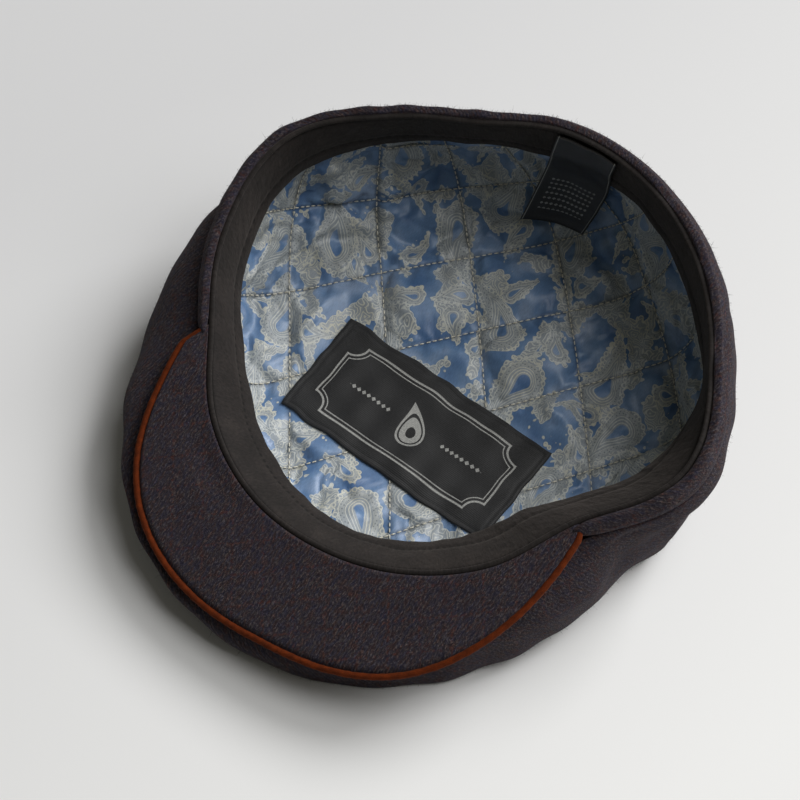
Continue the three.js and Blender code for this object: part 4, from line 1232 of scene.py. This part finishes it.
random = np.random.default_rng(7)
centres, ways, ups = [], [], []
for axis in (0, 1):
    for whole in range(-5, 7):
        free = np.linspace(-5.99, 6.99, 1400)
        a, b = (np.full_like(free, whole), free) if axis == 0 else (free, np.full_like(free, whole))
        values = quilted(a, b)
        good = ~np.isnan(values[:, 0])
        if good.sum() < 20:
            continue
        values = values[good]
        breaks = np.linalg.norm(np.diff(values[:, :3], axis=0), axis=1) > 2
        for part in np.split(values, np.nonzero(breaks)[0] + 1):
            if len(part) < 10:
                continue
            run = arc(part[:, :3])
            at = np.arange(1.0, run[-1] - 1.0, STITCH_EVERY)
            at = at + random.uniform(-0.15, 0.15, len(at))
            middle, up = np.split(at_length(part, run, at), 2, 1)
            up = up / np.linalg.norm(up, axis=1, keepdims=True)
            way = at_length(part[:, :3], run, at + 0.6) - at_length(part[:, :3], run, at - 0.6)
            way /= np.linalg.norm(way, axis=1, keepdims=True)
            centres.append(middle + up * 0.28)
            ways.append(way)
            ups.append(up)
centres, ways, ups = (np.concatenate(x) for x in (centres, ways, ups))
clear = beyond_label(centres) > 0.4
centres, ways, ups = centres[clear], ways[clear], ups[clear]
points, faces = dashes(centres, ways, ups, STITCH_LONG, STITCH_THICK)

# Cotton thread: cream, matt, with a little darker twist in it every half millimetre.
thread_material, t = new_material("cream_cotton_thread")
wound = node(t, "TexNoise", {"Vector": node(t, "TexCoord", out="Object"), "Scale": 2200.0})
thread_colour = shades(t, wound, [(0.35, "#bdb8a4"), (0.65, "#efebdd")])
thread_shader = node(t, "BsdfPrincipled", {
    "Base Color": thread_colour, "Roughness": 0.7, "Specular IOR Level": 0.3,
})
node(t, "OutputMaterial", {"Surface": thread_shader})
quilting = piece("quilting_stitches", points, faces, thread_material)


# Label.
# A woven patch, 102 by 47 mm, sewn on the middle of the lining.
# Its edges are folded under and its cloth is drawn in by its seam, so it lies in slight waves.
LABEL_ACROSS, LABEL_DOWN = 150, 70
LABEL_SKIN = 0.35


def sheet_faces(across, down):
    """Faces of a thin sheet: its face, its back, and the wall between them round its edge."""
    grid = np.arange(across * down).reshape(across, down)
    top = np.stack([grid[:-1, :-1], grid[1:, :-1], grid[1:, 1:], grid[:-1, 1:]], -1).reshape(-1, 4)
    loop = np.concatenate([grid[:, 0], grid[-1, 1:], grid[-2::-1, -1], grid[0, -2:0:-1]])
    following = np.roll(loop, -1)
    wall = np.stack([loop, loop + grid.size, following + grid.size, following], -1)
    return np.concatenate([top, top[:, ::-1] + grid.size, wall])


label_x = np.linspace(-LABEL_LONG / 2, LABEL_LONG / 2, LABEL_ACROSS)
label_y = np.linspace(-LABEL_SHORT / 2, LABEL_SHORT / 2, LABEL_DOWN)
gx, gy = np.meshgrid(label_x, label_y, indexing="ij")
from_edge = np.minimum(LABEL_LONG / 2 - np.abs(gx), LABEL_SHORT / 2 - np.abs(gy))
soft_edge = 0.45 * (1 - np.exp(-from_edge / 0.35))
ditch = -0.28 * np.exp(-((from_edge - 2.2) / 0.6) ** 2)
wavy = waves(61, gx, gy, 38) * 0.34 + waves(62, gx, gy, 15) * 0.16 * np.exp(-from_edge / 6)
lift = GAP + LABEL_SKIN + wavy
jog = 0.4 * waves(63, gx, gy, 30)
drawn_x, drawn_y = gx + jog * (np.abs(gx) / 51), gy + jog * (np.abs(gy) / 23)


def label_place(x, y, height):
    """Points over the bottom of the lining at places on the label."""
    c, s = math.cos(LABEL_TURN), math.sin(LABEL_TURN)
    wx, wy = LABEL_X + c * x - s * y, LABEL_Y + s * x + c * y
    return np.stack([wx, wy, floor_plane(wx, wy) + height], -1)


label_top = label_place(drawn_x, drawn_y, lift + soft_edge + ditch)
label_under = label_place(drawn_x, drawn_y, lift - LABEL_SKIN)
label_faces = sheet_faces(LABEL_ACROSS, LABEL_DOWN)
label_cloth = np.concatenate([np.stack([gx, gy], -1).reshape(-1, 2)] * 2)

# Woven polyester: near black with a fine rib, a little gloss on its threads, and light grey figures woven in:
# a double frame with hollowed corners, one traditional drop-shaped figure and rows of small diamonds.
woven, t = new_material("black_woven_polyester")
place = node(t, "Attribute", out=1, attribute_name="cloth")
xyz = node(t, "SeparateXYZ", {0: place}).node
x, y = xyz.outputs[0], xyz.outputs[1]
ax = node(t, "Math", {0: x}, operation="ABSOLUTE")
ay = node(t, "Math", {0: y}, operation="ABSOLUTE")
fx = node(t, "Math", {0: 42.5, 1: ax}, operation="SUBTRACT")
fy = node(t, "Math", {0: 16.5, 1: ay}, operation="SUBTRACT")
straight = node(t, "Math", {0: fx, 1: fy}, operation="MINIMUM")
corner_way = node(t, "CombineXYZ", {0: fx, 1: fy})
from_corner = node(t, "VectorMath", {0: corner_way}, out="Value", operation="LENGTH")
hollow = node(t, "Math", {0: from_corner, 1: 6.5}, operation="SUBTRACT")
inset = node(t, "Math", {0: straight, 1: hollow}, operation="MINIMUM")
outer_line = node(t, "Math", {0: inset, 1: 0.0, 2: 0.42}, operation="COMPARE")
inner_line = node(t, "Math", {0: inset, 1: 1.7, 2: 0.22}, operation="COMPARE")
drawn = node(t, "Math", {0: outer_line, 1: inner_line}, operation="MAXIMUM")
# The drop: one bent drop with a curve of its own, standing upright in the middle.
high = node(t, "Math", {0: y, 1: 9.0}, operation="DIVIDE")
tip = node(t, "Math", {0: high, 1: 1.0}, operation="MINIMUM")
y_from = node(t, "Math", {0: y, 1: 4.0}, operation="ADD")
y_square = node(t, "Math", {0: y_from, 1: y_from}, operation="MULTIPLY")
x_bent = node(t, "Math", {0: y_square, 1: 0.04, 2: x}, operation="MULTIPLY_ADD")
past = node(t, "Math", {0: high, 1: tip}, operation="SUBTRACT")
past = node(t, "Math", {0: past, 1: past}, operation="MULTIPLY")
left = node(t, "Math", {0: 1.0, 1: tip}, operation="SUBTRACT")
left = node(t, "Math", {0: left, 1: left}, operation="MULTIPLY")
right = node(t, "Math", {0: tip, 1: 1.0}, operation="ADD")
body = node(t, "Math", {0: left, 1: right}, operation="MULTIPLY")
side = node(t, "Math", {0: x_bent, 1: 6.0}, operation="DIVIDE")
side = node(t, "Math", {0: side, 1: side}, operation="MULTIPLY")
gone = node(t, "Math", {0: past, 1: 9.0, 2: side}, operation="MULTIPLY_ADD")
gone = node(t, "Math", {0: gone, 1: -1.0}, operation="MULTIPLY")
body = node(t, "Math", {0: body, 1: 0.84, 2: gone}, operation="MULTIPLY_ADD")
rho = node(t, "Math", {0: 1.0, 1: body}, operation="SUBTRACT")
rho = node(t, "Math", {0: rho, 1: 0.0}, operation="MAXIMUM")
rho = node(t, "Math", {0: rho}, operation="SQRT")
drop_rim = node(t, "Math", {0: rho, 1: 0.93, 2: 0.07}, operation="COMPARE")
drop_body = node(t, "Math", {0: rho, 1: 0.55, 2: 0.2}, operation="COMPARE")
drawn = node(t, "Math", {0: drawn, 1: drop_rim}, operation="MAXIMUM")
drawn = node(t, "Math", {0: drawn, 1: drop_body}, operation="MAXIMUM")
# Rows of diamonds on both sides of it.
cell_x = node(t, "Math", {0: x, 1: 2.5}, operation="PINGPONG")
cell_x = node(t, "Math", {0: cell_x, 1: 1.25}, operation="SUBTRACT")
cell_x = node(t, "Math", {0: cell_x}, operation="ABSOLUTE")
diamond = node(t, "Math", {0: cell_x, 1: ay}, operation="ADD")
diamond = node(t, "Math", {0: diamond, 1: 1.0}, operation="LESS_THAN")
aside = node(t, "Math", {0: ax, 1: 23.0, 2: 10.0}, operation="COMPARE")
diamond = node(t, "Math", {0: diamond, 1: aside}, operation="MULTIPLY")
drawn = node(t, "Math", {0: drawn, 1: diamond}, operation="MAXIMUM")
weft = node(t, "Math", {0: y, 1: 2 * math.pi / 0.7}, operation="MULTIPLY")
weft = node(t, "Math", {0: weft}, operation="SINE")
speck = node(t, "TexNoise", {"Vector": place, "Scale": 1.6, "Detail": 3.0})
black = shades(t, speck, [(0.35, "#1a1a1b"), (0.65, "#2d2d2e")])
grey = shades(t, speck, [(0.35, "#92928f"), (0.65, "#b2b2ae")])
label_base = node(t, "Mix", {0: drawn, 6: black, 7: grey}, out=2, data_type="RGBA")
weft_shade = node(t, "MapRange", {0: weft, 1: -1.0, 2: 1.0, 3: 0.86, 4: 1.08})
label_colour = node(t, "VectorMath", {0: label_base, 3: weft_shade}, operation="SCALE")
label_height = node(t, "Math", {0: weft, 1: 0.5, 2: drawn}, operation="MULTIPLY_ADD")
label_bump = node(t, "Bump", {"Height": label_height, "Strength": 0.4, "Distance": 0.12 * MM})
label_shader = node(t, "BsdfPrincipled", {
    "Base Color": label_colour, "Roughness": 0.6, "Specular IOR Level": 0.4, "Normal": label_bump,
    "Sheen Weight": 0.05,
})
node(t, "OutputMaterial", {"Surface": label_shader})
label = piece("label_patch", np.stack([label_top, label_under]), label_faces, woven,
              {"cloth": label_cloth}, "label")


# Size label.
# A soft satin tab, 28 by 66 mm, caught in the seam at the top of the ribbon at the back right.
# It hangs down over the ribbon onto the lining and is bare but for a thin border and rows of small diamonds.
TAB_WIDE, TAB_LONG, TAB_THICK = 28.0, 66.0, 0.9
TAB_AT, TAB_SLANT = 83.0, 8.0
TAB_ACROSS, TAB_DOWN = 18, 40
tab_half = math.degrees(TAB_WIDE / 2 / 95)
tab_middle = np.linspace(TAB_AT - tab_half, TAB_AT + tab_half, TAB_ACROSS)
tab_share = np.linspace(0, 1, TAB_DOWN)
tab_points = np.zeros((2, TAB_ACROSS, TAB_DOWN, 3))
for j, share in enumerate(tab_share):
    az = tab_middle + TAB_SLANT * share
    ribbon = ribbon_line(az, np.linspace(0, 1, 31))
    wall = lining_lines(az)[:, ::-1][:, 9:70]
    line = np.concatenate([ribbon[:, :-1], wall], 1)
    normal = set_off(line, np.full(line.shape[1], -1.0)) - line
    for _ in range(60):
        normal[:, 1:-1] = (normal[:, :-2] + 2 * normal[:, 1:-1] + normal[:, 2:]) / 4
        line[:, 1:-1] = (line[:, :-2] + 2 * line[:, 1:-1] + line[:, 2:]) / 4
    run = arc(line)
    want = np.full((TAB_ACROSS, 1), 3.0 + TAB_LONG * share)
    base_line = along_lines(line, run, want)[:, 0]
    lift = along_lines(normal, run, want)[:, 0]
    curl = 1.4 + 3.4 * ease(0.3, 0.75, share) + 1.0 * share * (np.linspace(-1, 1, TAB_ACROSS) ** 2)
    curl = curl + 0.3 * waves(71, np.linspace(0, TAB_WIDE, TAB_ACROSS), share * TAB_LONG, 24)
    for side, off in enumerate((0.0, TAB_THICK * 0.6)):
        at = base_line + lift * (curl + off)[:, None]
        tab_points[side, :, j] = spin(at[:, 0], at[:, 1], az)
tab_faces = sheet_faces(TAB_ACROSS, TAB_DOWN)
tab_x = np.linspace(-TAB_WIDE / 2, TAB_WIDE / 2, TAB_ACROSS)
tx, ty = np.meshgrid(tab_x, tab_share * TAB_LONG, indexing="ij")
tab_cloth = np.concatenate([np.stack([tx, ty], -1).reshape(-1, 2)] * 2)

# Black satin ribbon: polyester, smooth and softly glossy, printed in pale grey.
tab_satin, t = new_material("black_satin_ribbon")
place = node(t, "Attribute", out=1, attribute_name="cloth")
xyz = node(t, "SeparateXYZ", {0: place}).node
x, y = xyz.outputs[0], xyz.outputs[1]
ax = node(t, "Math", {0: x}, operation="ABSOLUTE")
border = node(t, "Math", {0: ax, 1: 13.2, 2: 0.18}, operation="COMPARE")
cell_x = node(t, "Math", {0: x, 1: 2.0}, operation="PINGPONG")
cell_x = node(t, "Math", {0: cell_x, 1: 1.0}, operation="SUBTRACT")
cell_x = node(t, "Math", {0: cell_x}, operation="ABSOLUTE")
rows = node(t, "Math", {0: y, 1: 3.5}, operation="PINGPONG")
rows = node(t, "Math", {0: rows, 1: 1.75}, operation="SUBTRACT")
rows = node(t, "Math", {0: rows}, operation="ABSOLUTE")
printed = node(t, "Math", {0: y, 1: 47.0, 2: 11.0}, operation="COMPARE")
diamond = node(t, "Math", {0: cell_x, 1: rows}, operation="ADD")
diamond = node(t, "Math", {0: diamond, 1: 0.85}, operation="LESS_THAN")
narrow = node(t, "Math", {0: ax, 1: 9.5}, operation="LESS_THAN")
diamond = node(t, "Math", {0: diamond, 1: narrow}, operation="MULTIPLY")
diamond = node(t, "Math", {0: diamond, 1: printed}, operation="MULTIPLY")
drawn = node(t, "Math", {0: border, 1: diamond}, operation="MAXIMUM")
speck = node(t, "TexNoise", {"Vector": place, "Scale": 1.2, "Detail": 3.0})
black = shades(t, speck, [(0.35, "#191715"), (0.65, "#292624")])
tab_colour = node(t, "Mix", {0: drawn, 6: black, 7: linear("#8f8f8c")}, out=2, data_type="RGBA")
weft = node(t, "Math", {0: y, 1: 2 * math.pi / 0.6}, operation="MULTIPLY")
weft = node(t, "Math", {0: weft}, operation="SINE")
tab_bump = node(t, "Bump", {"Height": weft, "Strength": 0.15, "Distance": 0.08 * MM})
tab_shader = node(t, "BsdfPrincipled", {
    "Base Color": tab_colour, "Roughness": 0.38, "Specular IOR Level": 0.5, "Normal": tab_bump,
})
node(t, "OutputMaterial", {"Surface": tab_shader})
tab = piece("size_label_tab", tab_points, tab_faces, tab_satin, {"cloth": tab_cloth},
            "size_label")


# Bounds of the pieces that render, leaving out the floor.
low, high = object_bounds()
